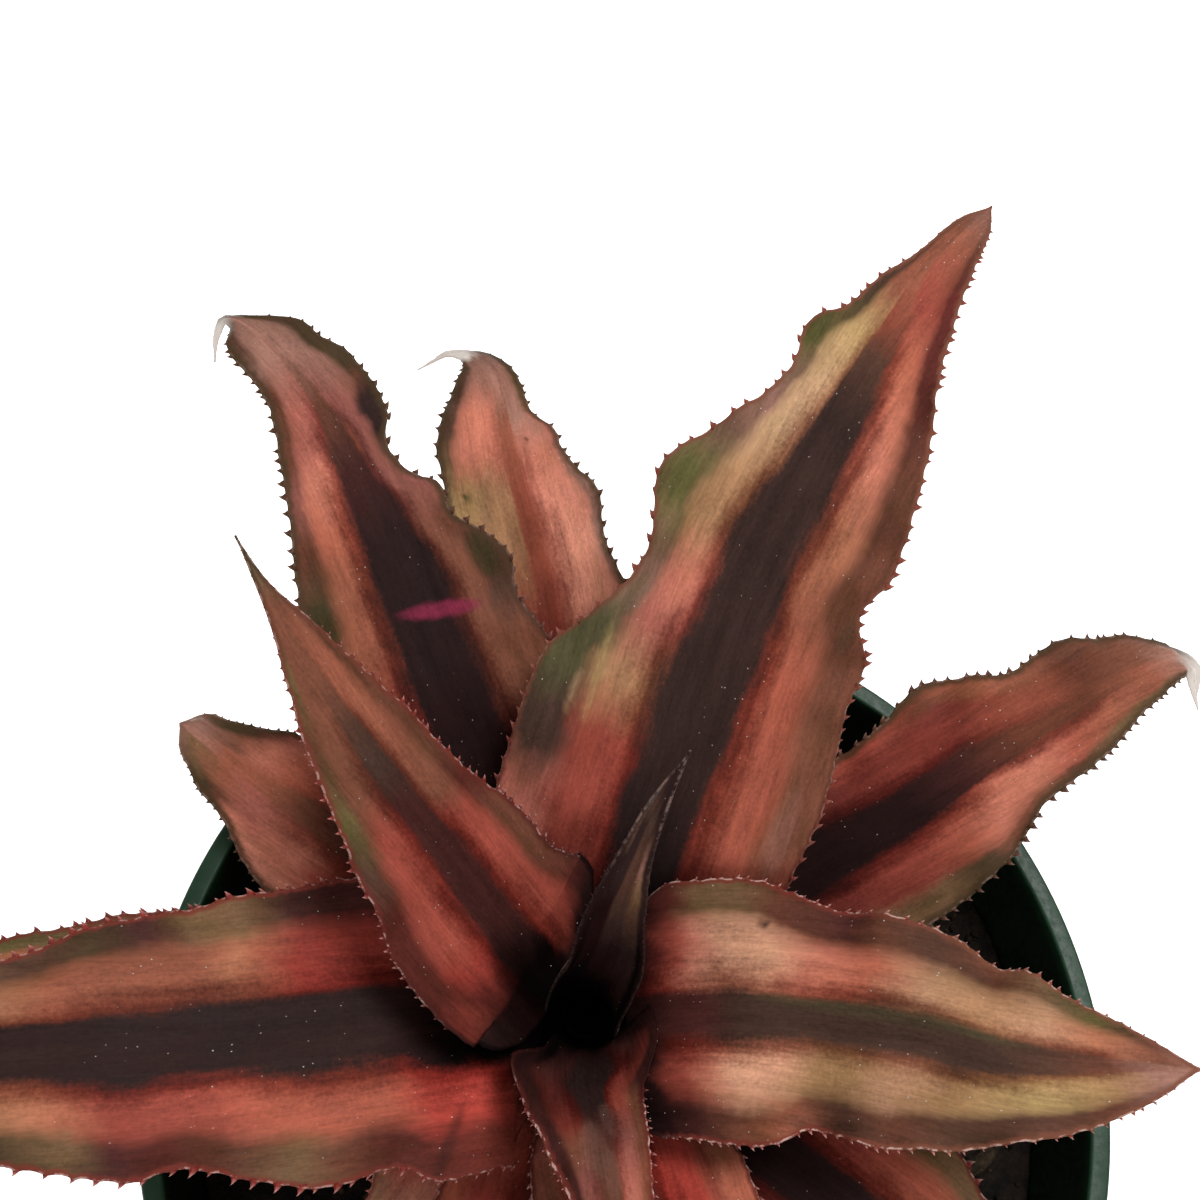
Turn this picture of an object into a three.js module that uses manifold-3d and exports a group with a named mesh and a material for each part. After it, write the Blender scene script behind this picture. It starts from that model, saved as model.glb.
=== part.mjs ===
// A potted earth star (Cryptanthus): a flat rosette of striped, spiny-edged leaves on a short stem,
// growing in potting mix in a thin green grower's pot.
//
// Millimetres, +Z up. The origin is on the table, under the centre of the pot's foot.

import * as THREE from 'three';
import { mergeVertices } from 'three/addons/utils/BufferGeometryUtils.js';
import Module from 'manifold-3d';

const wasm = await Module();
wasm.setup();

// ---------------------------------------------------------------- driving dimensions

const GAP = 0.3; // between two pieces that touch
const FACETS = 64; // round the pot and the soil
const STEM_FACETS = 24;
const HOLE_FACETS = 16;

const POT = {
  height: 85,
  lipRadius: 55, // outside, at the widest
  lipWidth: 2.4,
  lipRound: 0.5,
  wall: 1.2,
  taper: 0.155, // how much the wall's radius grows per millimetre of height
  bandHeight: 10, // the thick band below the lip
  bandFlare: 1.2,
  floor: 1.6,
  footWidth: 4,
  channelHeight: 3, // the ring of floor with the drain holes stands this far off the table
  hubRadius: 12,
  ramp: 1.5,
  holes: 4,
  holeRadius: 5,
  holeCircle: 25,
};

const SOIL = {
  level: 72.5, // at the wall
  bottom: 5.2,
  roughness: 0.7,
  rings: 7,
};

// The stem stands a little off the pot's centre. Its top is the dark well in the middle of the rosette.
const STEM = {
  x: -6,
  y: 2,
  outline: [
    [4, 52], [5.6, 54], [5.8, 72], [5.5, 75], [5.2, 78], [4.9, 81], [4.3, 84], [3.6, 86.5], [3.1, 88.2],
    [2.9, 89.8], [2.4, 89.8], [2.1, 85],
  ],
};

const LEAF = {
  thickness: 1.1, // along the middle, near the stem
  marginThickness: 0.5,
  step: 4.5, // along the leaf, between two cross-sections
  across: 6, // facets from one margin to the other
  tip: 0.985, // the share of the length that the last cross-section stands at
};

// Each leaf from the stem to its tip, the youngest first. The midrib is a smooth curve through its points.
// The half widths to the left and to the right of it are [percent of the length, millimetres].
const LEAVES = [
  {
    name: 'leaf_01',
    midrib: [[-5.5, 4.6, 90.5], [-5, 6, 100], [-4.6, 8, 112], [-3, 12, 127], [-1, 15, 136]],
    left: [[0, 6.5], [20, 5.6], [45, 3.4], [65, 2], [85, 1], [100, 0]],
    right: [[0, 6.5], [20, 5.4], [45, 3], [65, 1.4], [85, 0.7], [100, 0]],
    rolled: 4, // the radius of the gutter it is still rolled into
  },
  {
    name: 'leaf_02',
    midrib: [
      [-6, -2, 88.5], [-6, -7, 95], [-5.5, -12, 102],
      [-5, -18, 108], [-4, -28, 117], [-2, -37, 122],
    ],
    left: [
      [0, 4], [5, 8], [10, 11], [14, 7], [18, 5.4],
      [28, 4.6], [50, 3.7], [70, 2.2], [88, 0.9], [100, 0],
    ],
    right: [
      [0, 4], [7, 5.2], [12, 7], [16, 9.5], [20, 7.7],
      [28, 6.7], [37, 5.6], [46, 4.4], [70, 2], [88, 0.9], [100, 0],
    ],
    clasp: 0.25, // the share of its length in which it wraps round the stem
  },
  {
    name: 'leaf_03',
    midrib: [
      [-9, 5, 87], [-12, 7, 91], [-15, 9, 95.5], [-23, 16, 106],
      [-32, 24, 117], [-39, 32, 125.5], [-43, 38, 129.5],
    ],
    left: [
      [0, 8], [3, 10.2], [7, 11.2], [14, 12.1], [28, 11.6],
      [36, 10.3], [56, 6.8], [76, 2.8], [88, 0.8], [100, 0],
    ],
    right: [
      [0, 4], [8, 10.2], [15, 10.6], [24, 9], [34, 8.8],
      [48, 6.6], [60, 6], [82, 2.8], [92, 0.8], [100, 0],
    ],
  },
  {
    name: 'leaf_04',
    midrib: [[-1.3, 2, 86], [4, 2, 91], [12, 1, 97.5], [24, -2, 105.5], [36, -6, 111.5], [50, -7, 115]],
    left: [
      [0, 8], [7, 12.5], [14, 13.1], [24, 13.1], [29, 12.3], [37, 11],
      [56, 10.2], [66, 8.2], [74, 8], [86, 4.9], [100, 0],
    ],
    right: [
      [0, 10], [3, 12.8], [14, 13.5], [25, 13.8], [33, 13.5], [37, 12.5], [40, 11],
      [53, 11.6], [63, 10.4], [72, 8.2], [92, 2.9], [100, 0],
    ],
  },
  {
    name: 'leaf_05',
    midrib: [
      [-11, 2, 85], [-16, 2, 89.5], [-26, 0, 96],
      [-45, -4, 104.5], [-62, -6, 109], [-86, -9, 108.5],
    ],
    left: [
      [0, 9], [5, 15.6], [12, 16.2], [21, 16.4], [26, 14.5],
      [36, 15], [50, 11.5], [56, 12], [78, 7.9], [100, 0],
    ],
    right: [
      [0, 4.5], [6, 13], [15, 14.8], [38, 13.8], [50, 12.8],
      [62, 10.8], [70, 8.4], [92, 3], [100, 0],
    ],
  },
  {
    name: 'leaf_06',
    midrib: [
      [-4, 6.5, 84], [-1, 13, 90], [3, 25, 99], [9, 43, 112],
      [19, 62, 124], [29, 77, 130], [38, 87, 130],
    ],
    left: [
      [0, 4.5], [5, 11], [12, 18], [22, 19.2], [33, 18.5], [38, 15.2], [43, 12.2], [47, 11.6], [54, 13.9],
      [61, 10.3], [66, 7.5], [70, 6.5], [75, 7.4], [78, 4.7], [83, 3.6], [88, 1.8], [96, 1.3], [100, 0],
    ],
    right: [
      [0, 4.5], [5, 11], [12, 14.2], [25, 16], [37, 15.2], [43, 15.6], [49, 12.9],
      [54, 14.3], [62, 13.1], [71, 10.7], [75, 8.8], [83, 6.3], [96, 2.4], [100, 0],
    ],
  },
  {
    name: 'leaf_07',
    midrib: [[-4.4, -3, 83], [-2, -10, 88], [1, -23, 96], [5, -36, 102], [8, -50, 106], [11, -64, 107]],
    left: [[0, 4.5], [8, 9], [20, 10.6], [35, 11], [55, 9.5], [75, 6.5], [90, 3], [100, 0]],
    right: [[0, 4.5], [8, 9], [20, 11], [40, 11.2], [60, 9], [80, 5.5], [92, 2.6], [100, 0]],
  },
  {
    name: 'leaf_08',
    midrib: [
      [-8, 7, 82], [-11, 15, 87.5], [-20, 30, 97], [-29, 48, 107], [-37, 62, 113],
      [-47, 75, 112.5], [-51.8, 78.5, 112], [-53.2, 77, 110.6], [-53.4, 74.4, 108.8],
    ],
    left: [
      [0, 4.5], [7, 9], [23, 12.6], [38, 13.8], [51, 13], [55, 11.9],
      [61, 10.3], [71, 7.4], [80, 4.6], [88, 4.2], [91, 3.4], [93, 1.2], [100, 0],
    ],
    right: [
      [0, 4.5], [7, 9], [23, 12], [38, 13], [45, 11.4], [50, 12.2], [54, 10], [57, 7.7], [61, 7.8],
      [63, 5.6], [67, 4.2], [71, 6.2], [80, 7.2], [84, 5.5], [88, 5.3], [91.6, 1.8], [94, 0.9], [100, 0],
    ],
  },
  {
    name: 'leaf_09',
    midrib: [
      [-1.4, -1, 81], [7, -7, 86.5], [16, -14, 92],
      [33, -28, 99], [48, -38, 100.5], [57, -44, 99],
    ],
    left: [[0, 4.5], [10, 9], [25, 12], [46, 11.4], [55, 8.8], [75, 6.4], [90, 3], [100, 0]],
    right: [[0, 4.5], [10, 9], [25, 12], [46, 11], [65, 8.6], [82, 5.2], [93, 2.4], [100, 0]],
  },
  {
    name: 'leaf_10',
    midrib: [[-11.5, 2.8, 80], [-27, 4, 87], [-48, 3, 93.5], [-68, 1.5, 95.5], [-82, 0, 93.5]],
    left: [[0, 4.5], [10, 8.5], [35, 10], [60, 8.8], [80, 6], [93, 3], [100, 0]],
    right: [[0, 4.5], [10, 8.5], [30, 9.5], [60, 8], [76, 6.4], [84, 5], [93, 2.6], [100, 0]],
  },
  {
    name: 'leaf_11',
    midrib: [
      [-1.4, 5.4, 79], [8, 12, 84], [20, 19, 89], [34, 26, 95],
      [47, 33, 100], [60, 41, 98], [69, 45, 96], [71.5, 40, 93],
    ],
    left: [
      [0, 4.5], [10, 8], [25, 10], [45, 9.9], [55, 12.2], [60, 10.6],
      [66, 8.2], [76, 8.6], [80, 7], [86, 5.8], [91, 3.1], [100, 0],
    ],
    right: [
      [0, 4.5], [10, 8], [25, 11], [39, 12.2], [52, 10.4],
      [60, 7], [70, 6], [82, 3.8], [91, 2.2], [100, 0],
    ],
  },
  {
    name: 'leaf_12',
    midrib: [
      [-7.7, -3.6, 78], [-10, -13, 82], [-13, -25, 86],
      [-17, -41, 91], [-21, -57, 94], [-24, -66, 93],
    ],
    left: [[0, 4.5], [10, 8], [22, 10], [40, 10.5], [60, 8.8], [80, 5.2], [92, 2.6], [100, 0]],
    right: [[0, 4.5], [10, 8], [22, 10.2], [40, 10.5], [60, 8.8], [80, 5.2], [92, 2.6], [100, 0]],
  },
  {
    name: 'leaf_13',
    midrib: [
      [-6.4, 8, 77], [-8, 26, 84], [-11, 49, 94], [-16, 65, 101],
      [-19, 79, 101], [-22, 84.6, 99.6], [-26, 85.7, 98.6], [-29.8, 83.4, 98],
    ],
    left: [
      [0, 4.5], [10, 7.5], [30, 9.5], [50, 10], [68, 9.2],
      [73, 9.4], [78, 8.1], [84, 6], [89.5, 3], [94, 1], [100, 0],
    ],
    right: [
      [0, 4.5], [10, 7.5], [30, 9.5], [50, 9.7], [55, 8.4], [62, 9.4], [67, 7.8],
      [71, 6.4], [75, 5.9], [78, 3.4], [86, 2.7], [93, 1], [100, 0],
    ],
  },
  {
    name: 'leaf_14',
    midrib: [[-2, -2.3, 76], [4, -9, 79], [14, -24, 84.5], [21, -38, 89], [26, -50, 91], [29, -58, 90]],
    left: [[0, 4.5], [12, 8], [30, 9.5], [55, 8.6], [78, 5.6], [92, 2.6], [100, 0]],
    right: [[0, 4.5], [12, 8], [30, 9.5], [55, 8.6], [78, 5.6], [92, 2.6], [100, 0]],
  },
  {
    name: 'leaf_15',
    midrib: [
      [-10.4, 6.3, 75.2], [-16, 11.6, 77.5], [-26, 17, 81], [-36, 23, 85],
      [-45, 28, 88.5], [-51, 32, 89.5], [-55.5, 35.2, 89],
    ],
    left: [
      [0, 4.5], [12, 8], [35, 10], [63, 9.8], [70, 8.6], [76, 6.7],
      [81, 5.4], [86, 4.8], [91, 3.5], [96, 2.2], [100, 0],
    ],
    right: [[0, 4.5], [12, 8], [35, 9.5], [60, 9], [78, 7.2], [86, 4.9], [91, 3.6], [97, 2.6], [100, 0]],
  },
  {
    name: 'leaf_16',
    midrib: [
      [-11, -2, 74.4], [-17, -9, 77], [-25, -21, 81],
      [-31, -32, 86.5], [-37, -43, 89.5], [-42, -52, 89],
    ],
    left: [[0, 4.5], [12, 7.5], [30, 8.8], [55, 8], [78, 5], [92, 2.4], [100, 0]],
    right: [[0, 4.5], [12, 7.5], [30, 8], [37, 6], [55, 7.5], [75, 5.6], [90, 2.8], [100, 0]],
  },
];

// ---------------------------------------------------------------- materials

const PLASTIC = new THREE.MeshStandardMaterial({ color: 0x2f4a37, roughness: 0.45, metalness: 0 });
const PEAT = new THREE.MeshStandardMaterial({ color: 0x2a1d15, roughness: 1, metalness: 0 });
const STALK = new THREE.MeshStandardMaterial({ color: 0x5b3a2a, roughness: 0.8, metalness: 0 });
const BLADE = new THREE.MeshStandardMaterial({ color: 0x8f463c, roughness: 0.5, metalness: 0 });

// ---------------------------------------------------------------- solids

function toManifold(geometry) {
  const bare = geometry.clone();
  bare.deleteAttribute('normal');
  bare.deleteAttribute('uv');
  const merged = mergeVertices(bare, 1e-4);
  return new wasm.Manifold(
    new wasm.Mesh({
      numProp: 3,
      vertProperties: new Float32Array(merged.attributes.position.array),
      triVerts: new Uint32Array(merged.index.array),
    }),
  );
}

function fromManifold(solid) {
  const mesh = solid.getMesh();
  const geometry = new THREE.BufferGeometry();
  const places = new Float32Array(mesh.vertProperties);
  geometry.setAttribute('position', new THREE.BufferAttribute(places, 3));
  geometry.setIndex(new THREE.BufferAttribute(new Uint32Array(mesh.triVerts), 1));
  geometry.computeVertexNormals();
  return geometry;
}

// A turned solid about +Z from [radius, height] points that start and end on the axis, bottom first.
function turned(points, segments) {
  const outline = points.map(([radius, height]) => new THREE.Vector2(radius, height));
  return new THREE.LatheGeometry(outline, segments).rotateX(Math.PI / 2);
}

// The inside of the pot's wall at a height.
function wallRadius(height) {
  const top = POT.lipRadius - POT.lipWidth;
  return top - (POT.height - height) * POT.taper;
}

// ---------------------------------------------------------------- pot

function potOutline() {
  const foot = wallRadius(0) + POT.wall;
  const channelIn = POT.hubRadius;
  const channelOut = foot - POT.footWidth;
  const bandFoot = POT.height - POT.bandHeight;
  const top = POT.height;
  const lip = POT.lipRadius;
  const round = POT.lipRound;
  const eased = 0.3 * round; // how far the middle of a rounded corner lies inside the sharp one
  const under = POT.channelHeight;
  const over = POT.channelHeight + POT.floor;
  return [
    [0, 0],
    [channelIn - POT.ramp, 0],
    [channelIn, under],
    [channelOut - POT.ramp, under],
    [channelOut, 0],
    [foot - round, 0],
    [foot, round],
    [wallRadius(bandFoot - 1) + POT.wall, bandFoot - 1],
    [lip - POT.bandFlare, bandFoot],
    [lip, top - round],
    [lip - eased, top - eased],
    [lip - round, top],
    [lip - POT.lipWidth + round, top],
    [lip - POT.lipWidth + eased, top - eased],
    [wallRadius(top - round), top - round],
    [wallRadius(over), over],
    [channelIn - POT.ramp - 1, over],
    [channelIn - POT.ramp - 2, POT.floor],
    [0, POT.floor],
  ];
}

function pot() {
  let solid = toManifold(turned(potOutline(), FACETS));
  const depth = 4 * (POT.channelHeight + POT.floor);
  const drill = new THREE.CylinderGeometry(POT.holeRadius, POT.holeRadius, depth, HOLE_FACETS);
  drill.rotateX(Math.PI / 2);
  for (let i = 0; i < POT.holes; i += 1) {
    const turn = (i / POT.holes) * 2 * Math.PI;
    const x = POT.holeCircle * Math.cos(turn);
    const y = POT.holeCircle * Math.sin(turn);
    const hole = drill.clone().translate(x, y, 0);
    solid = solid.subtract(toManifold(hole));
  }
  return fromManifold(solid);
}

// ---------------------------------------------------------------- soil

// The uneven top of the potting mix: low waves that die away at the wall.
function soilTop(x, y) {
  const wave = Math.sin(0.23 * x + 1) * Math.cos(0.19 * y) + 0.5 * Math.sin(0.47 * y - 0.31 * x);
  return SOIL.level + SOIL.roughness * 0.5 * wave;
}

function soil() {
  const rim = wallRadius(SOIL.level) - GAP;
  const foot = wallRadius(SOIL.bottom) - GAP;
  const outline = [[0, SOIL.bottom], [foot, SOIL.bottom], [rim, SOIL.level]];
  for (let i = SOIL.rings - 1; i >= 0; i -= 1) {
    outline.push([(rim * i) / SOIL.rings, SOIL.level]);
  }
  const geometry = turned(outline, FACETS);
  const place = geometry.attributes.position;
  for (let i = 0; i < place.count; i += 1) {
    if (place.getZ(i) > SOIL.level - 1) {
      place.setZ(i, soilTop(place.getX(i), place.getY(i)));
    }
  }
  const pocket = turned(stemOutline(GAP), STEM_FACETS).translate(STEM.x, STEM.y, 0);
  return fromManifold(toManifold(geometry).subtract(toManifold(pocket)));
}

// ---------------------------------------------------------------- stem

// The stem's section, or with a clearance the section of the pocket it stands in.
function stemOutline(clearance) {
  const side = STEM.outline.map(([radius, height]) => [radius + clearance, height - clearance]);
  return [[0, side[0][1]], ...side, [0, side[side.length - 1][1]]];
}

function stem() {
  return turned(stemOutline(0), STEM_FACETS).translate(STEM.x, STEM.y, 0);
}

// ---------------------------------------------------------------- leaves

// A smooth curve through [percent, value] pairs.
function along(pairs, percent) {
  let k = 0;
  while (k < pairs.length - 2 && pairs[k + 1][0] <= percent) k += 1;
  const slope = (i) => {
    const before = pairs[Math.max(i - 1, 0)];
    const after = pairs[Math.min(i + 1, pairs.length - 1)];
    return (after[1] - before[1]) / (after[0] - before[0]);
  };
  const span = pairs[k + 1][0] - pairs[k][0];
  const t = (percent - pairs[k][0]) / span;
  const value =
    (2 * t ** 3 - 3 * t ** 2 + 1) * pairs[k][1] +
    (t ** 3 - 2 * t ** 2 + t) * span * slope(k) +
    (3 * t ** 2 - 2 * t ** 3) * pairs[k + 1][1] +
    (t ** 3 - t ** 2) * span * slope(k + 1);
  return Math.max(value, 0);
}

const UP = new THREE.Vector3(0, 0, 1);

const fromStem = (point) => Math.hypot(point.x - STEM.x, point.y - STEM.y);

// The midrib's height at a distance from the stem: the bowl that the blade is a part of.
function bowlHeight(curve, radius) {
  const samples = 80; // along the midrib
  let low = curve.getPointAt(0);
  if (radius <= fromStem(low)) return low.z;
  for (let i = 1; i <= samples; i += 1) {
    const high = curve.getPointAt(i / samples);
    if (fromStem(high) >= radius) {
      const t = (radius - fromStem(low)) / (fromStem(high) - fromStem(low));
      return low.z + t * (high.z - low.z);
    }
    if (fromStem(high) > fromStem(low)) low = high;
  }
  return low.z;
}

// The middle of the blade's thickness and its upward normal, at a share u of the length. side runs from -1 at
// the right margin to 1 at the left.
function bladePoint(leaf, curve, u, side) {
  const middle = curve.getPointAt(u);
  const forward = curve.getTangentAt(u);
  const left = new THREE.Vector3(-forward.y, forward.x, 0).normalize();
  const up = new THREE.Vector3().crossVectors(forward, left).normalize();
  const half = Math.abs(side) * along(side < 0 ? leaf.right : leaf.left, 100 * u);
  const sign = Math.sign(side);
  if (leaf.rolled) {
    const turn = half / leaf.rolled;
    const point = middle
      .clone()
      .addScaledVector(left, sign * leaf.rolled * Math.sin(turn))
      .addScaledVector(up, leaf.rolled * (1 - Math.cos(turn)));
    const normal = up.clone().multiplyScalar(Math.cos(turn)).addScaledVector(left, -sign * Math.sin(turn));
    return { point, normal };
  }
  const point = middle.clone().addScaledVector(left, sign * half);
  const radius = fromStem(middle);
  if (leaf.clasp) {
    const stem = new THREE.Vector3(STEM.x, STEM.y, middle.z);
    const wrapped = middle.clone().sub(stem).applyAxisAngle(UP, (sign * half) / radius).add(stem);
    point.lerp(wrapped, 1 - THREE.MathUtils.smoothstep(u, 0.4 * leaf.clasp, leaf.clasp));
  }
  point.z += bowlHeight(curve, fromStem(point)) - bowlHeight(curve, radius);
  return { point, normal: up };
}

function leafGeometry(leaf) {
  const curve = new THREE.CatmullRomCurve3(
    leaf.midrib.map(([x, y, z]) => new THREE.Vector3(x, y, z)),
    false,
    'catmullrom',
    0.5,
  );
  curve.arcLengthDivisions = 400;
  const stations = Math.max(8, Math.round(curve.getLength() / LEAF.step));
  const ring = 2 * (LEAF.across + 1);
  const positions = [];
  for (let i = 0; i <= stations; i += 1) {
    const u = (LEAF.tip * i) / stations;
    const upper = [];
    const lower = [];
    for (let j = 0; j <= LEAF.across; j += 1) {
      const side = 1 - (2 * j) / LEAF.across;
      const { point, normal } = bladePoint(leaf, curve, u, side);
      const swell = (1 - side * side) * (1 - 0.5 * u);
      const thickness = LEAF.marginThickness + (LEAF.thickness - LEAF.marginThickness) * swell;
      upper.push(point.clone().addScaledVector(normal, thickness / 2));
      lower.push(point.clone().addScaledVector(normal, -thickness / 2));
    }
    lower.reverse();
    for (const p of [...upper, ...lower]) positions.push(p.x, p.y, p.z);
  }
  const index = [];
  for (let i = 0; i < stations; i += 1) {
    for (let j = 0; j < ring; j += 1) {
      const a = i * ring + j;
      const b = i * ring + ((j + 1) % ring);
      index.push(a, b, a + ring, b, b + ring, a + ring);
    }
  }
  const end = stations * ring;
  for (let j = 0; j < LEAF.across; j += 1) {
    const a = j;
    const b = j + 1;
    const c = ring - 2 - j;
    const d = ring - 1 - j;
    index.push(a, c, b, a, d, c);
    index.push(end + a, end + b, end + c, end + a, end + c, end + d);
  }
  const geometry = new THREE.BufferGeometry();
  geometry.setAttribute('position', new THREE.BufferAttribute(new Float32Array(positions), 3));
  geometry.setIndex(index);
  geometry.computeVertexNormals();
  return geometry;
}

// ---------------------------------------------------------------- assembly

function piece(name, geometry, material) {
  const mesh = new THREE.Mesh(geometry, material);
  mesh.name = name;
  return mesh;
}

const plant = new THREE.Group();
plant.add(piece('stem', stem(), STALK));
for (const leaf of LEAVES) {
  plant.add(piece(leaf.name, leafGeometry(leaf), BLADE));
}

const part = new THREE.Group();
part.add(piece('pot', pot(), PLASTIC));
part.add(piece('soil', soil(), PEAT));
part.add(plant);

export default part;
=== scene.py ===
"""The looks of a potted earth star (Cryptanthus): striped leaves with spiny margins, potting mix, grower's pot.

Lengths here are in millimetres in the part's own frame, and are turned into metres when a mesh is made.
"""

import bmesh
import bpy
import numpy as np
from mathutils import Matrix, Vector, noise

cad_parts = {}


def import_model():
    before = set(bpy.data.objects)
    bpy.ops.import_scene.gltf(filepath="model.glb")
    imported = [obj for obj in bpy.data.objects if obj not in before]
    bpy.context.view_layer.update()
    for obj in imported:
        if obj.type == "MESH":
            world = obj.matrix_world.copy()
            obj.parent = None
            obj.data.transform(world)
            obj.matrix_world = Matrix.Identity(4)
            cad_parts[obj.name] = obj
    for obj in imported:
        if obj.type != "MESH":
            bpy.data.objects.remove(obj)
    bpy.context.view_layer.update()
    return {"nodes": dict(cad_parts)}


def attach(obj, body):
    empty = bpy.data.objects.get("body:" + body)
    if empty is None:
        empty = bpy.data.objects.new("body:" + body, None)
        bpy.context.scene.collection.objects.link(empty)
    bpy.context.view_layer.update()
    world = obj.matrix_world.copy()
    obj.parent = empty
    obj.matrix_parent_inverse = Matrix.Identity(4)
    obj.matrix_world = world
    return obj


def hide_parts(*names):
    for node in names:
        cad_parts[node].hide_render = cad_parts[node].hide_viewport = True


MM = 0.001

# ---------------------------------------------------------------- sizes

STEM = (-6.0, 2.0)  # the rosette's axis stands a little off the pot's centre

POT = {
    "height": 85,
    "lip_radius": 55,
    "lip_width": 2.4,
    "lip_round": 0.45,
    "wall": 1.2,
    "taper": 0.155,
    "band_height": 10,
    "band_flare": 1.2,
    "floor": 1.6,
    "foot_width": 4,
    "foot_round": 0.8,
    "channel_height": 3,
    "hub_radius": 12,
    "ramp": 1.5,
    "hole_radius": 5,
    "hole_circle": 25,
    "hole_depth": 12,  # how high the drill for the holes reaches
    "hole_segments": 48,
    "segments": 192,
    "sharp": 32,  # degrees; an edge that bends more than this looks sharp
}

SOIL = {
    "level": 72.5,
    "radius": 50.3,
    "depth": 2.5,  # of the bed of crumbs on the block
    "clear": 1.2,  # between the wall and the nearest thing scattered
    "rings": 84,
    "segments": 288,
    "seed": 21,
}

BLADE = {
    "station": 0.55,  # between two rows of vertices along a leaf
    "column": 0.8,  # between two columns across it
    "thickness": 1.0,
    "margin_thickness": 0.3,
    "crowding": 1.25,  # 1 spaces the columns evenly; more crowds them towards the margins
    "samples": 1601,  # points along the midrib's curve
}

SPINE = {
    "spacing": (1.1, 2.5),
    "stretch": (0.06, 0.975),  # where along the leaf the spines start and end, as shares of its length
    "length": (0.28, 0.56),
    "tilt": (-0.35, 0.45),
    "root": 0.66,  # radius of its foot, as a share of its length
    "rings": [(-0.35, 1.25, 0), (0.1, 1.0, 0.25), (0.55, 0.52, 0.6), (0.9, 0.14, 0.9)],  # height, girth, colour
    "sides": 5,
    "foot": 0.985,  # where its foot is, as a share of the half width
    "flatness": 0.4,  # thickness as a share of its width
    "lean": 0.85,  # towards the leaf's tip, as a share of its length
    "hook": 0.95,  # the same for its own tip
    "notch": 0.15,  # depth of the scallop between two spines, as a share of their spacing
    "lift": 0.3,  # how far the spines' feet stand out from the half width
}

WAVE = {"height": 0.9, "period": 14}  # of the blade's margins

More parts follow.
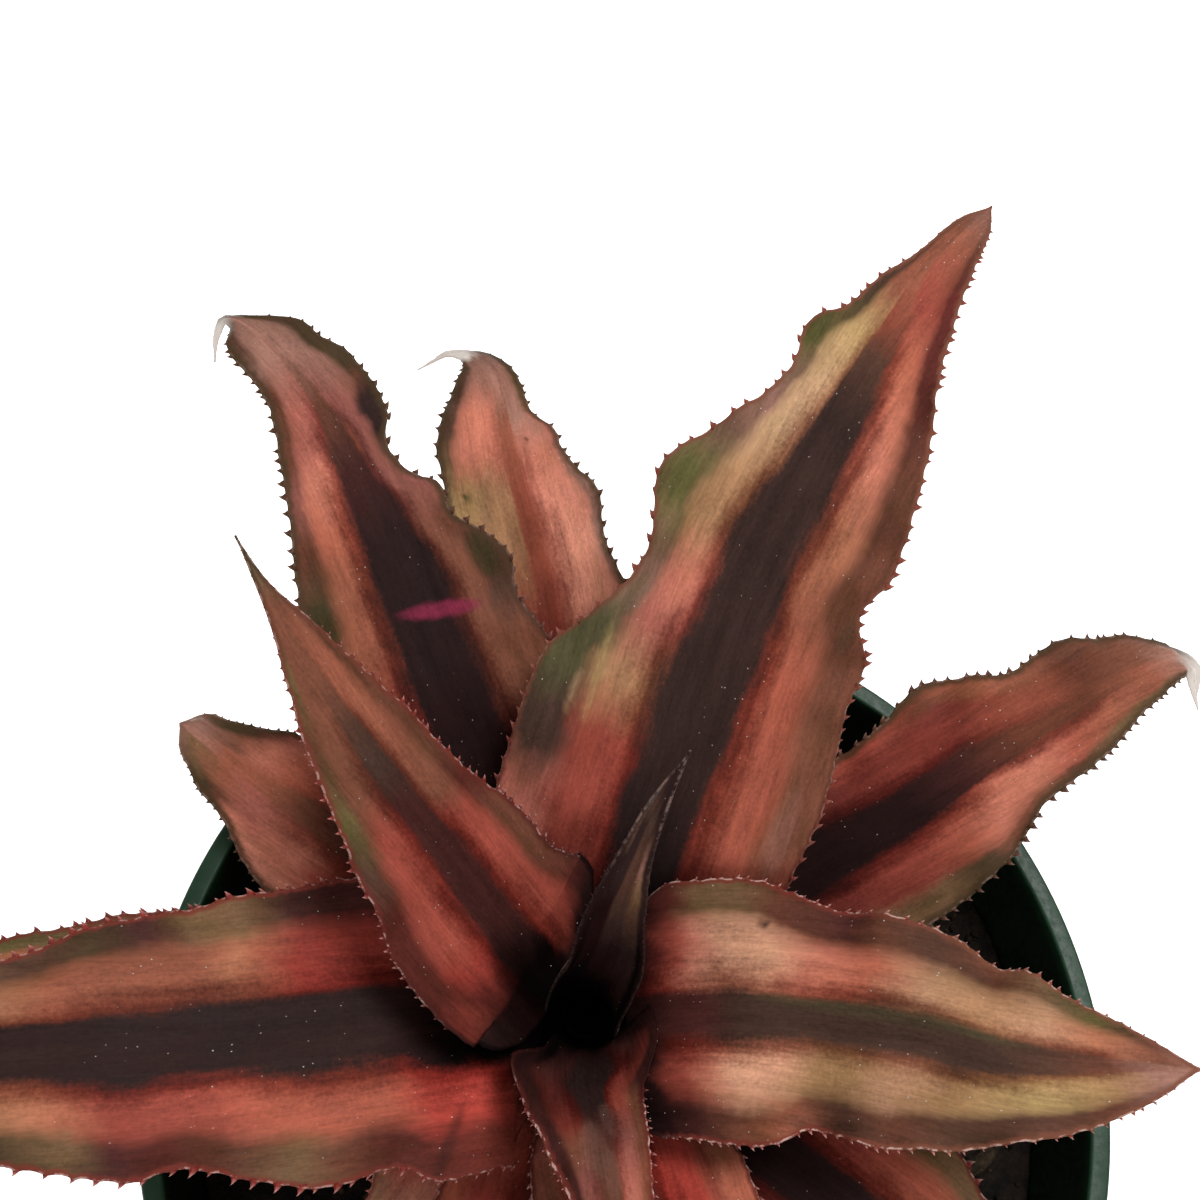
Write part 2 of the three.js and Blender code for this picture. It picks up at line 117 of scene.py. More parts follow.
# Every leaf from the stem to its tip, the youngest first. The midrib is a smooth curve through points x y z.
# The half widths to the left and to the right of it are percent of the length and millimetres. A rolled leaf is
# a gutter of that radius, and a clasp is the share of the length that wraps round the stem.
LEAVES = {
    "leaf_01": {
        "midrib": "-5.5 4.6 90.5, -5 6 100, -4.6 8 112, -3 12 127, -1 15 136",
        "left": "0 6.5, 20 5.6, 45 3.4, 65 2, 85 1, 100 0",
        "right": "0 6.5, 20 5.4, 45 3, 65 1.4, 85 0.7, 100 0",
        "rolled": 4,
    },
    "leaf_02": {
        "midrib": "-6 -2 88.5, -6 -7 95, -5.5 -12 102, -5 -18 108, -4 -28 117, -2 -37 122",
        "left": "0 4, 5 8, 10 11, 14 7, 18 5.4, 28 4.6, 50 3.7, 70 2.2, 88 0.9, 100 0",
        "right": "0 4, 7 5.2, 12 7, 16 9.5, 20 7.7, 28 6.7, 37 5.6, 46 4.4, 70 2, 88 0.9, 100 0",
        "clasp": 0.25,
    },
    "leaf_03": {
        "midrib": "-9 5 87, -12 7 91, -15 9 95.5, -23 16 106, -32 24 117, -39 32 125.5, -43 38 129.5",
        "left": "0 8, 3 10.2, 7 11.2, 14 12.1, 28 11.6, 36 10.3, 56 6.8, 76 2.8, 88 0.8, 100 0",
        "right": "0 4, 8 10.2, 15 10.6, 24 9, 34 8.8, 48 6.6, 60 6, 82 2.8, 92 0.8, 100 0",
    },
    "leaf_04": {
        "midrib": "-1.3 2 86, 4 2 91, 12 1 97.5, 24 -2 105.5, 36 -6 111.5, 50 -7 115",
        "left": "0 8, 7 12.5, 14 13.1, 24 13.1, 29 12.3, 37 11, 56 10.2, 66 8.2, 74 8, 86 4.9, 100 0",
        "right": (
            "0 10, 3 12.8, 14 13.5, 25 13.8, 33 13.5, 37 12.5, 40 11, 53 11.6, 63 10.4, 72 8.2, 92 2.9, 100 0"
        ),
    },
    "leaf_05": {
        "midrib": "-11 2 85, -16 2 89.5, -26 0 96, -45 -4 104.5, -62 -6 109, -86 -9 108.5",
        "left": "0 9, 5 15.6, 12 16.2, 21 16.4, 26 14.5, 36 15, 50 11.5, 56 12, 78 7.9, 100 0",
        "right": "0 4.5, 6 13, 15 14.8, 38 13.8, 50 12.8, 62 10.8, 70 8.4, 92 3, 100 0",
    },
    "leaf_06": {
        "midrib": "-4 6.5 84, -1 13 90, 3 25 99, 9 43 112, 19 62 124, 29 77 130, 38 87 130",
        "left": (
            "0 4.5, 5 11, 12 18, 22 19.2, 33 18.5, 38 15.2, 43 12.2, 47 11.6, 54 13.9, 61 10.3, 66 7.5, 70 6.5,"
            " 75 7.4, 78 4.7, 83 3.6, 88 1.8, 96 1.3, 100 0"
        ),
        "right": (
            "0 4.5, 5 11, 12 14.2, 25 16, 37 15.2, 43 15.6, 49 12.9, 54 14.3, 62 13.1, 71 10.7, 75 8.8, 83 6.3,"
            " 96 2.4, 100 0"
        ),
    },
    "leaf_07": {
        "midrib": "-4.4 -3 83, -2 -10 88, 1 -23 96, 5 -36 102, 8 -50 106, 11 -64 107",
        "left": "0 4.5, 8 9, 20 10.6, 35 11, 55 9.5, 75 6.5, 90 3, 100 0",
        "right": "0 4.5, 8 9, 20 11, 40 11.2, 60 9, 80 5.5, 92 2.6, 100 0",
    },
    "leaf_08": {
        "midrib": (
            "-8 7 82, -11 15 87.5, -20 30 97, -29 48 107, -37 62 113, -47 75 112.5, -51.8 78.5 112,"
            " -53.2 77 110.6, -53.4 74.4 108.8"
        ),
        "left": (
            "0 4.5, 7 9, 23 12.6, 38 13.8, 51 13, 55 11.9, 61 10.3, 71 7.4, 80 4.6, 88 4.2, 91 3.4, 93 1.2,"
            " 100 0"
        ),
        "right": (
            "0 4.5, 7 9, 23 12, 38 13, 45 11.4, 50 12.2, 54 10, 57 7.7, 61 7.8, 63 5.6, 67 4.2, 71 6.2, 80 7.2,"
            " 84 5.5, 88 5.3, 91.6 1.8, 94 0.9, 100 0"
        ),
    },
    "leaf_09": {
        "midrib": "-1.4 -1 81, 7 -7 86.5, 16 -14 92, 33 -28 99, 48 -38 100.5, 57 -44 99",
        "left": "0 4.5, 10 9, 25 12, 46 11.4, 55 8.8, 75 6.4, 90 3, 100 0",
        "right": "0 4.5, 10 9, 25 12, 46 11, 65 8.6, 82 5.2, 93 2.4, 100 0",
    },
    "leaf_10": {
        "midrib": "-11.5 2.8 80, -27 4 87, -48 3 93.5, -68 1.5 95.5, -82 0 93.5",
        "left": "0 4.5, 10 8.5, 35 10, 60 8.8, 80 6, 93 3, 100 0",
        "right": "0 4.5, 10 8.5, 30 9.5, 60 8, 76 6.4, 84 5, 93 2.6, 100 0",
    },
    "leaf_11": {
        "midrib": "-1.4 5.4 79, 8 12 84, 20 19 89, 34 26 95, 47 33 100, 60 41 98, 69 45 96, 71.5 40 93",
        "left": "0 4.5, 10 8, 25 10, 45 9.9, 55 12.2, 60 10.6, 66 8.2, 76 8.6, 80 7, 86 5.8, 91 3.1, 100 0",
        "right": "0 4.5, 10 8, 25 11, 39 12.2, 52 10.4, 60 7, 70 6, 82 3.8, 91 2.2, 100 0",
    },
    "leaf_12": {
        "midrib": "-7.7 -3.6 78, -10 -13 82, -13 -25 86, -17 -41 91, -21 -57 94, -24 -66 93",
        "left": "0 4.5, 10 8, 22 10, 40 10.5, 60 8.8, 80 5.2, 92 2.6, 100 0",
        "right": "0 4.5, 10 8, 22 10.2, 40 10.5, 60 8.8, 80 5.2, 92 2.6, 100 0",
    },
    "leaf_13": {
        "midrib": (
            "-6.4 8 77, -8 26 84, -11 49 94, -16 65 101, -19 79 101, -22 84.6 99.6, -26 85.7 98.6,"
            " -29.8 83.4 98"
        ),
        "left": "0 4.5, 10 7.5, 30 9.5, 50 10, 68 9.2, 73 9.4, 78 8.1, 84 6, 89.5 3, 94 1, 100 0",
        "right": (
            "0 4.5, 10 7.5, 30 9.5, 50 9.7, 55 8.4, 62 9.4, 67 7.8, 71 6.4, 75 5.9, 78 3.4, 86 2.7, 93 1, 100 0"
        ),
    },
    "leaf_14": {
        "midrib": "-2 -2.3 76, 4 -9 79, 14 -24 84.5, 21 -38 89, 26 -50 91, 29 -58 90",
        "left": "0 4.5, 12 8, 30 9.5, 55 8.6, 78 5.6, 92 2.6, 100 0",
        "right": "0 4.5, 12 8, 30 9.5, 55 8.6, 78 5.6, 92 2.6, 100 0",
    },
    "leaf_15": {
        "midrib": (
            "-10.4 6.3 75.2, -16 11.6 77.5, -26 17 81, -36 23 85, -45 28 88.5, -51 32 89.5, -55.5 35.2 89"
        ),
        "left": "0 4.5, 12 8, 35 10, 63 9.8, 70 8.6, 76 6.7, 81 5.4, 86 4.8, 91 3.5, 96 2.2, 100 0",
        "right": "0 4.5, 12 8, 35 9.5, 60 9, 78 7.2, 86 4.9, 91 3.6, 97 2.6, 100 0",
    },
    "leaf_16": {
        "midrib": "-11 -2 74.4, -17 -9 77, -25 -21 81, -31 -32 86.5, -37 -43 89.5, -42 -52 89",
        "left": "0 4.5, 12 7.5, 30 8.8, 55 8, 78 5, 92 2.4, 100 0",
        "right": "0 4.5, 12 7.5, 30 8, 37 6, 55 7.5, 75 5.6, 90 2.8, 100 0",
    },
}

# ---------------------------------------------------------------- colours of the leaves

# As they look in soft daylight.
PIGMENT = {
    "black": (8, 3, 3), "soot": (32, 15, 14), "coal": (38, 23, 22), "near_black": (44, 29, 27),
    "dark": (54, 37, 33), "dark_wine": (62, 31, 28), "cinder": (68, 48, 40), "plum": (74, 38, 35),
    "bark": (80, 53, 42), "oxblood": (83, 37, 31), "wine": (88, 35, 30), "sienna": (94, 51, 36),
    "umber": (98, 58, 44), "maroon": (114, 49, 40), "brown": (118, 71, 54), "mauve": (132, 77, 68),
    "russet": (134, 68, 51), "rust": (142, 82, 62), "garnet": (142, 56, 47), "brick": (143, 66, 54),
    "henna": (156, 74, 61), "clay": (166, 87, 68), "red": (168, 64, 54), "rose": (164, 94, 81),
    "terracotta": (174, 97, 75), "vermilion": (184, 71, 61), "salmon": (187, 112, 91), "coral": (202, 128, 107),
    "shell": (210, 138, 114), "peach": (206, 150, 120), "apricot": (178, 132, 102), "ginger": (166, 104, 77),
    "sand": (190, 150, 114), "tan": (163, 120, 86), "straw": (150, 113, 77), "gold": (176, 144, 97),
    "olive": (110, 82, 58), "moss": (96, 84, 52), "fern": (72, 76, 38), "dark_olive": (68, 52, 34),
    "deep_olive": (46, 44, 22), "sage": (80, 74, 50), "grey_green": (98, 88, 66), "dusk": (126, 90, 78),
    "dusty_rose": (141, 97, 83), "ash_rose": (152, 108, 94), "mist": (158, 140, 132), "ash": (205, 196, 188),
    "magenta": (126, 40, 64),
}

SILVER = (206, 196, 186)  # of the scales on a leaf
FROST = (150, 136, 126)  # of the scurf on its underside
GLINT = (222, 184, 172)  # of its rim in the light
TINGE = (0.7, 0.76, 0.62, 1)  # what is left of a colour where the leaf turns greenish

# How each leaf is striped. A run of colours is percent of the length and pigment, over and over. It starts from
# black at the base and ends with the leaf's tip, if that is named. The black and sooty stops near the base are
# partly the bases' own dark colour and partly the crown's shade, painted in. On each side of the midrib, inner
# is where the dark centre turns into the stripe and outer where the stripe turns into the margin, both as
# percent of the length and share of the half width. The edge's colour is also that of the spines, lit is how
# brightly the margins and the spines catch the light, a painted highlight, as percent and brightness, and reach
# is how far in the edge's colour goes. A mark is (percent, share of the half width with + on the left, length
# and width in millimetres, pigment, strength, slant).
STRIPES = {
    "leaf_01": {
        "centre": "6 black 16 soot 28 coal 40 dark 47 cinder 55 bark 68 bark 78 cinder 90 coal 100 soot",
        "left stripe": "14 black 25 soot 46 soot 58 near_black 77 near_black 86 bark 94 soot",
        "left margin": "30 black 48 soot 66 near_black 73 dusk 80 dusk 86 mist 92 dusk 100 near_black",
        "right stripe": "6 soot 16 coal 28 near_black 37 cinder 45 bark 54 olive 65 dusk 74 bark 82 soot",
        "right margin": "34 black 45 near_black 55 bark 65 near_black 74 soot",
        "right outer": "100 0.75",
        "edge": "30 soot 60 coal",
        "lit": "55 0, 80 0.2",
    },
    "leaf_02": {
        "centre": "3 soot 12 near_black 24 near_black 34 plum 45 umber 65 umber 85 brown",
        "left stripe": (
            "2 soot 5 dark_wine 10 wine 15 maroon 25 brick 35 mauve 45 rose 60 salmon 80 salmon 90 rose"
        ),
        "left margin": "2 soot 8 soot 16 dark_wine 24 brown 36 brown 46 rust 70 brown",
        "left inner": "0 0.26, 100 0.24",
        "right stripe": "3 soot 12 dark_wine 22 wine 30 maroon 38 brown 46 mauve 65 rose 85 rose",
        "right margin": "8 black 16 soot 25 dark_wine 46 dark_wine 60 plum 80 umber",
        "right outer": "0 0.7, 100 0.68",
        "tip": "100 olive",
        "edge": "12 soot 24 wine 45 maroon",
        "lit": "17 0, 26 0.8, 100 0.6",
        "marks": [
            (38, -0.2, 9, 3, "dusk", 0.4, 0),
            (30, 0.2, 7, 2, "dusk", 0.3, 0),
            (46, 0.05, 8, 2, "dusk", 0.3, 0),
        ],
    },
    "leaf_03": {
        "centre": "9 black 15 soot 22 dark_wine 50 dark_wine 58 cinder 66 bark 76 brown 88 brown",
        "left stripe": "0 soot 9 soot 14 wine 19 garnet 25 henna 46 brick 55 brown 88 brown",
        "left margin": (
            "0 soot 7 coal 12 maroon 18 oxblood 34 oxblood 44 bark 55 moss 66 umber 76 moss 88 umber"
        ),
        "left inner": "0 0.3, 20 0.24, 60 0.2, 80 0.1",
        "right stripe": "5 soot 9 maroon 13 brick 25 brick 35 henna 43 brick 48 brown 76 rust 88 brown",
        "right margin": "8 soot 13 oxblood 25 umber 35 umber 45 oxblood 55 umber 88 umber",
        "right inner": "0 0.26, 60 0.22, 80 0.16, 100 0.1",
        "tip": "95 grey_green 100 dark_olive",
        "edge": "10 black 16 dark_wine 30 wine 60 maroon 88 umber 95 dark_olive",
        "lit": "14 0, 24 0.5, 100 0.3",
        "marks": [
            (38, 0.1, 9, 0.5, "ash", 0.5, 0.5),
        ],
    },
    "leaf_04": {
        "centre": "4 soot 10 dark_wine 18 plum 25 cinder 70 cinder 78 bark 86 umber 94 dusty_rose",
        "left stripe": (
            "3 soot 6 wine 10 henna 14 coral 19 peach 28 peach 36 salmon 46 terracotta 56 apricot 66 tan"
            " 76 apricot 86 ginger 94 brown 100 dusty_rose"
        ),
        "left margin": (
            "4 soot 9 oxblood 14 olive 22 olive 28 umber 42 plum 48 umber 56 bark 66 umber 75 olive 85 moss"
            " 94 umber 100 dusty_rose"
        ),
        "left inner": "0 0.2, 14 0.14, 45 0.15, 56 0.14, 66 0.22, 80 0.2, 100 0.1",
        "left outer": "0 0.74, 28 0.7, 45 0.66, 56 0.66, 75 0.7, 100 0.66",
        "right stripe": (
            "6 soot 10 maroon 15 brick 20 salmon 26 peach 34 peach 41 straw 47 straw 55 apricot 65 straw"
            " 75 gold 86 straw 94 ash_rose"
        ),
        "right margin": (
            "7 soot 16 dark_wine 25 umber 35 rust 41 umber 46 bark 55 umber 66 bark 75 bark 86 umber 94 dusk"
            " 100 ash_rose"
        ),
        "right inner": "0 0.22, 25 0.24, 38 0.28, 60 0.28, 76 0.22, 86 0.15, 100 0.1",
        "right outer": "0 0.68, 16 0.7, 26 0.74, 36 0.7, 44 0.68",
        "edge": "6 dark_wine 14 maroon 40 maroon 60 brown",
        "lit": "0 0, 7 0.3, 14 0.7, 70 0.7, 100 0.4",
        "marks": [
            (27, 0.68, 1.1, 0.5, "soot", 0.9, 0),
            (30, -0.5, 0.9, 0.5, "soot", 0.9, 0),
            (50, 0.12, 34, 1.6, "sage", 0.5, 0),
        ],
    },
    "leaf_05": {
        "centre": "14 black 21 soot 27 near_black",
        "left stripe": (
            "2 soot 5 maroon 10 red 14 vermilion 21 red 27 clay 40 clay 50 henna 58 brick 66 ginger 80 tan"
            " 100 olive"
        ),
        "left margin": (
            "2 maroon 8 maroon 26 oxblood 33 umber 38 olive 45 umber 52 oxblood 58 plum 62 olive 70 dark_olive"
            " 80 olive"
        ),
        "left inner": "0 0.42, 16 0.4, 24 0.34, 60 0.34, 66 0.36, 100 0.34",
        "right stripe": "8 soot 14 maroon 20 garnet 36 garnet 44 ginger 48 rust 65 rust 80 tan 100 olive",
        "right margin": (
            "14 soot 24 dark_wine 35 dark_wine 43 olive 49 olive 55 plum 62 dark_olive 68 bark 80 olive"
        ),
        "right inner": "0 0.26, 100 0.27",
        "edge": "4 oxblood 30 maroon",
        "lit": "0 0, 8 0.3, 20 0.45",
        "marks": [
            # a painted shadow, cast across this leaf by the edge of leaf_02
            (19.3, 0.8, 1.8, 9, "dark_wine", 0.55, 0.6),
        ],
    },
    "leaf_06": {
        "centre": "12 black 20 near_black 27 dark 68 dark 75 bark 80 russet 85 rust 93 brown",
        "left stripe": (
            "8 soot 13 maroon 18 brick 27 brick 34 tan 40 rose 46 salmon 52 tan 57 tan 63 sand 69 sand 76 gold"
            " 83 rust 90 rust 95 brown"
        ),
        "left margin": (
            "10 wine 14 rose 18 rose 23 cinder 28 cinder 33 sage 38 sage 45 dusk 51 moss 57 moss 62 dusk"
            " 67 dusk 73 moss 79 dark_olive 85 bark 93 bark"
        ),
        "left inner": "0 0.28, 25 0.3, 35 0.34, 47 0.34, 60 0.22, 68 0.16, 76 0.06, 100 0.04",
        "left outer": (
            "0 0.72, 30 0.68, 38 0.74, 45 0.76, 51 0.68, 56 0.62, 62 0.72, 68 0.78, 74 0.62, 84 0.6, 100 0.7"
        ),
        "right stripe": (
            "10 soot 15 maroon 20 clay 38 clay 46 rust 56 ginger 65 salmon 75 terracotta 83 brick 92 rust"
        ),
        "right margin": "13 maroon 20 brown 36 brown 46 umber 65 umber 75 oxblood 85 wine 93 umber",
        "right inner": "0 0.26, 25 0.28, 35 0.34, 50 0.36, 70 0.38, 80 0.34, 86 0.1, 100 0.05",
        "right outer": "0 0.72, 60 0.68, 66 0.72",
        "tip": "100 dusk",
        "edge": "12 wine 30 umber 60 brown",
        "lit": "0 0, 20 0.15",
        "marks": [
            (33, 0.66, 13, 1.2, "gold", 0.35, 0),
            (30, 0.74, 9, 0.8, "sand", 0.35, 0),
            (54, 0.8, 6, 3.4, "fern", 0.55, 0),
            (75, 0.85, 6, 2.6, "fern", 0.45, 0),
            (22, -0.8, 12, 3, "ash_rose", 0.3, 0),
            (46, -0.86, 7, 2, "dark_olive", 0.5, 0),
        ],
    },
    "leaf_07": {
        "centre": "7 soot 13 wine 22 oxblood 40 plum 100 dark",
        "left stripe": "7 soot 13 maroon 20 red 60 red 100 salmon",
        "left margin": "10 wine 17 brown 22 rust 30 terracotta 40 rust 60 olive 100 brown",
        "left inner": "0 0.2, 20 0.14, 60 0.2",
        "left outer": "0 0.62, 100 0.64",
        "right stripe": "8 black 20 brick 30 red 60 red 100 salmon",
        "right margin": "8 wine 15 rose 25 brown 60 olive 100 brown",
        "edge": "12 wine 100 maroon",
        "lit": "0 0, 10 0.5, 100 0.4",
        "marks": [
            (24, 0.64, 20, 1.5, "maroon", 0.5, 0),
        ],
    },
    "leaf_08": {
        "centre": "20 soot 34 soot 42 coal 57 coal 66 dark_wine 74 umber 84 dusty_rose 92 ash_rose 94 ash",
        "left stripe": (
            "28 wine 37 brick 45 rust 55 rust 60 terracotta 66 salmon 71 rose 76 rose 85 ash_rose 92 dusk"
            " 94 ash"
        ),
        "left margin": (
            "28 plum 42 brown 48 dark_olive 52 dark_olive 58 umber 65 mauve 70 umber 80 umber 84 dusk 88 bark"
            " 92 bark 95 ash"
        ),
        "left inner": "0 0.36, 64 0.35, 70 0.26, 76 0.1, 82 0.05",
        "left outer": "0 0.72, 57 0.7, 64 0.8, 70 0.76, 76 0.68, 86 0.6, 100 0.5",
        "right stripe": "28 wine 35 brown 55 brown 65 mauve 75 mauve 84 ash_rose 93 dusk 95 ash",
        "right margin": (
            "30 umber 40 brown 46 bark 51 bark 56 umber 62 mauve 67 mauve 70 near_black 74 near_black 77 umber"
            " 80 dark_olive 88 dark_olive 92 bark 95 ash"
        ),
        "right inner": "0 0.38, 48 0.4, 58 0.36, 66 0.28, 74 0.14, 80 0.06, 100 0.05",
        "right outer": "0 0.72, 52 0.7, 64 0.78, 68 0.74, 72 0.5, 76 0.72, 83 0.6",
        "edge": "30 wine 42 bark 60 dark_olive 92 dark_olive 95 ash",
        "reach": 1.7,
        "lit": "0 0.15, 100 0.1",
        "marks": [
            (47.2, -0.2, 2.1, 10.5, "magenta", 0.88, 0.2),
            (69.5, -0.24, 5, 0.7, "russet", 0.6, -0.7),
            (51.5, -0.8, 7, 3.8, "deep_olive", 0.7, 0),
            (50, 0.8, 7, 3.4, "deep_olive", 0.55, 0),
        ],
    },
    "leaf_09": {
        "centre": "20 soot 34 coal 60 dark",
        "left stripe": "20 wine 30 maroon 38 brick 46 clay 70 clay 100 salmon",
        "left margin": "20 plum 38 bark 46 olive",
        "left inner": "0 0.22, 100 0.24",
        "right stripe": "20 wine 34 maroon 44 rose 70 clay 100 salmon",
        "right margin": "20 plum 38 dark_olive 46 olive",
        "edge": "20 wine 100 maroon",
        "lit": "0 0, 20 0.7, 100 0.5",
    },
    "leaf_10": {
        "centre": "30 near_black 100 dark",
        "stripe": "30 brick 70 clay 100 tan",
        "left margin": "40 umber 75 olive",
        "right margin": "40 umber 70 olive 80 moss 100 olive",
        "edge": "30 wine 100 maroon",
        "lit": "100 0.3",
    },
    "leaf_11": {
        "centre": "26 soot 46 soot 54 dark_wine 63 sienna 75 sienna 86 rust 92 ash_rose",
        "left stripe": "28 wine 46 maroon 56 maroon 65 russet 76 sienna 86 brown 92 ash_rose",
        "left margin": "28 wine 39 brick 46 brick 54 sienna 61 rust 67 rust 74 umber 84 brown 90 dusk",
        "left inner": "45 0.34, 60 0.26, 80 0.22, 100 0.2",
        "left outer": "45 0.76, 55 0.74, 75 0.72, 100 0.7",
        "right stripe": (
            "26 wine 35 maroon 44 brick 50 clay 55 salmon 61 salmon 66 clay 76 rust 86 rust 92 ash_rose"
        ),
        "right margin": (
            "28 umber 36 olive 44 olive 50 dark_olive 55 brown 60 brown 66 umber 74 olive 86 olive 92 dusk"
        ),
        "right inner": "0 0.34, 36 0.3, 45 0.24, 52 0.15, 62 0.08, 100 0.03",
        "right outer": "0 0.66, 46 0.7, 54 0.82, 64 0.76, 76 0.7, 100 0.6",
        "tip": "95 ash",
        "edge": "28 wine 40 dark_olive 93 dark_olive 95 ash",
        "reach": 1.7,
        "lit": "100 0.2",
    },
    "leaf_12": {
        "centre": "5 soot 12 wine 25 wine 50 plum",
        "left stripe": "10 maroon 30 red 60 red 100 salmon",
        "left margin": "10 plum 35 umber 65 brown 100 olive",
        "right stripe": "5 wine 11 brick 20 brick 30 red 60 red 100 salmon",
        "right margin": "7 maroon 14 brick 25 clay 35 umber 65 brown 100 olive",
        "right inner": "0 0.18, 100 0.22",
        "edge": "10 wine 100 maroon",
        "lit": "0 0, 10 0.8, 100 0.6",
    },
    "leaf_13": {
        "centre": "30 soot 46 maroon 56 russet 66 russet 76 rust 85 ash_rose 90 dusk",
        "left stripe": "30 wine 48 brick 58 tan 66 tan 71 salmon 78 salmon 85 dusty_rose 91 dusk",
        "left margin": "40 wine 55 brown 61 gold 67 gold 71 olive 76 bark 89 bark 91 dusk",
        "left inner": "0 0.25, 60 0.16, 75 0.14, 100 0.1",
        "left outer": "0 0.8, 58 0.84, 66 0.86, 74 0.78, 80 0.76, 88 0.66, 100 0.6",
        "right stripe": (
            "30 wine 44 brick 49 shell 56 shell 63 coral 70 salmon 77 ash_rose 84 dusty_rose 90 dusk"
        ),
        "right margin": "40 brown 49 brown 56 ash_rose 66 dusk 75 rose 81 olive 88 bark",
        "right inner": "0 0.16, 60 0.1, 100 0.08",
        "right outer": "56 0.86, 64 0.78, 74 0.84, 82 0.7, 100 0.6",
        "tip": "93 ash",
        "edge": "40 bark 52 dark_olive 91 dark_olive 93 ash",
        "reach": 1.7,
        "lit": "100 0.15",
        "marks": [
            (66, 0.7, 6, 4, "gold", 0.5, 0),
            (66.5, 0.72, 1.7, 0.8, "fern", 0.9, 0),
            (73, -0.35, 1, 0.7, "plum", 0.8, 0),
        ],
    },
    "leaf_14": {
        "centre": "30 near_black 60 plum",
        "stripe": "30 maroon 60 clay 100 salmon",
        "margin": "40 umber 100 olive",
        "edge": "30 wine 100 maroon",
        "lit": "100 0.2",
    },
    "leaf_15": {
        "centre": "40 soot 48 oxblood 57 umber 66 brown 76 rust 86 rust 94 dusty_rose 100 ash_rose",
        "left stripe": "38 soot 48 wine 55 brick 61 salmon 68 salmon 76 rose 85 rust 95 olive 100 dusk",
        "left margin": "40 wine 53 rose 62 coral 70 coral 77 salmon 82 umber 87 dark_olive 95 olive 100 dusk",
        "left inner": "0 0.2, 100 0.15",
        "left outer": "70 0.8, 80 0.64, 100 0.6",
        "right stripe": "40 soot 50 wine 62 brick 71 terracotta 78 salmon 86 brown 95 dusk",
        "right margin": "40 soot 58 rose 70 coral 77 rose 82 umber 87 dark_olive 91 dark_olive 96 dusk 100 ash",
        "right inner": "0 0.24, 100 0.2",
        "right outer": "0 0.7, 76 0.76, 86 0.66, 100 0.62",
        "edge": "45 dark_olive 92 dark_olive 100 dusk",
        "reach": 1.7,
        "lit": "100 0.2",
    },
    "leaf_16": {
        "centre": "16 wine 24 red 32 coral",
        "left stripe": "20 red 40 coral 100 peach",
        "left margin": "20 brick 45 salmon 100 ash_rose",
        "right stripe": "18 red 26 vermilion 33 shell 60 shell 100 peach",
        "right margin": "18 red 28 salmon 34 peach 60 peach 100 ash_rose",
        "edge": "20 maroon 34 rose",
        "lit": "0 0, 20 0.6",
    },
}

USUAL = {"inner": "0 0.3, 100 0.28", "outer": "0 0.72"}  # where the look names none
EDGE_REACH = 1.0  # how far in from the margin the edge's own colour reaches, where the look names no reach
DRIFT = 0.8  # how far along the leaf a change of colour strays
GRAIN_STEP = 40.0  # how far apart two leaves read the patterns of their material
BLUSH = (0.42, 0.27, 0.26)  # what is left of the stripe's colour where it meets a dark centre

# ---------------------------------------------------------------- small tools


def linear(colour):
    """An sRGB colour of 0 to 255 as linear light."""
    share = np.asarray(colour, float) / 255
    return np.where(share <= 0.04045, share / 12.92, ((share + 0.055) / 1.055) ** 2.4)


def ease(value, low, high):
    """0 below low, 1 above high, smooth between."""
    share = np.clip((value - low) / (high - low), 0, 1)
    return share * share * (3 - 2 * share)


def numbers(text):
    """Rows of numbers from text with a comma between two rows."""
    return np.array([row.split() for row in text.split(",")], float)


def smooth_run(rows, percent):
    """A smooth curve through rows of percent and value, never below 0."""
    x, y = rows.T
    at = np.arange(len(x))
    before = np.maximum(at - 1, 0)
    after = np.minimum(at + 1, len(x) - 1)
    slope = (y[after] - y[before]) / (x[after] - x[before])
    k = np.clip(np.searchsorted(x, percent, side="right") - 1, 0, len(x) - 2)
    span = x[k + 1] - x[k]
    t = (percent - x[k]) / span
    value = (
        (2 * t**3 - 3 * t**2 + 1) * y[k]
        + (t**3 - 2 * t**2 + t) * span * slope[k]
        + (3 * t**2 - 2 * t**3) * y[k + 1]
        + (t**3 - t**2) * span * slope[k + 1]
    )
    return np.maximum(value, 0)


def level_run(text, percent):
    """Straight lines through rows of percent and value."""
    return np.interp(percent, *numbers(text).T)


def pigment_run(text, percent):
    """The linear colour at each percent of the length, blended evenly from one stop of the run to the next.
    A run that doesn't start at 0 has black there, partly the base's own dark colour and partly the crown's
    shade, painted in."""
    words = text.split()
    if words[0] != "0":
        words = ["0", "black", *words]
    x = np.array(words[0::2], float)
    colours = np.array([linear(PIGMENT[word]) for word in words[1::2]])
    return np.stack([np.interp(percent, x, colours[:, i]) for i in range(3)], -1)


def ripple(x, period, phases):
    """A slow irregular wave of about 1 either way."""
    waves = zip((1, 0.6, 0.4), (1, 0.57, 2.3), phases)
    return sum(high * np.sin(2 * np.pi * x / (long * period) + phase) for high, long, phase in waves) / 1.5


def unit(vectors):
    """Vectors of length 1 in the same directions."""
    return vectors / np.linalg.norm(vectors, axis=-1, keepdims=True)


def circle(count):
    """Angles evenly spaced round a circle."""
    return np.linspace(0, 2 * np.pi, count, endpoint=False)


# ---------------------------------------------------------------- meshes


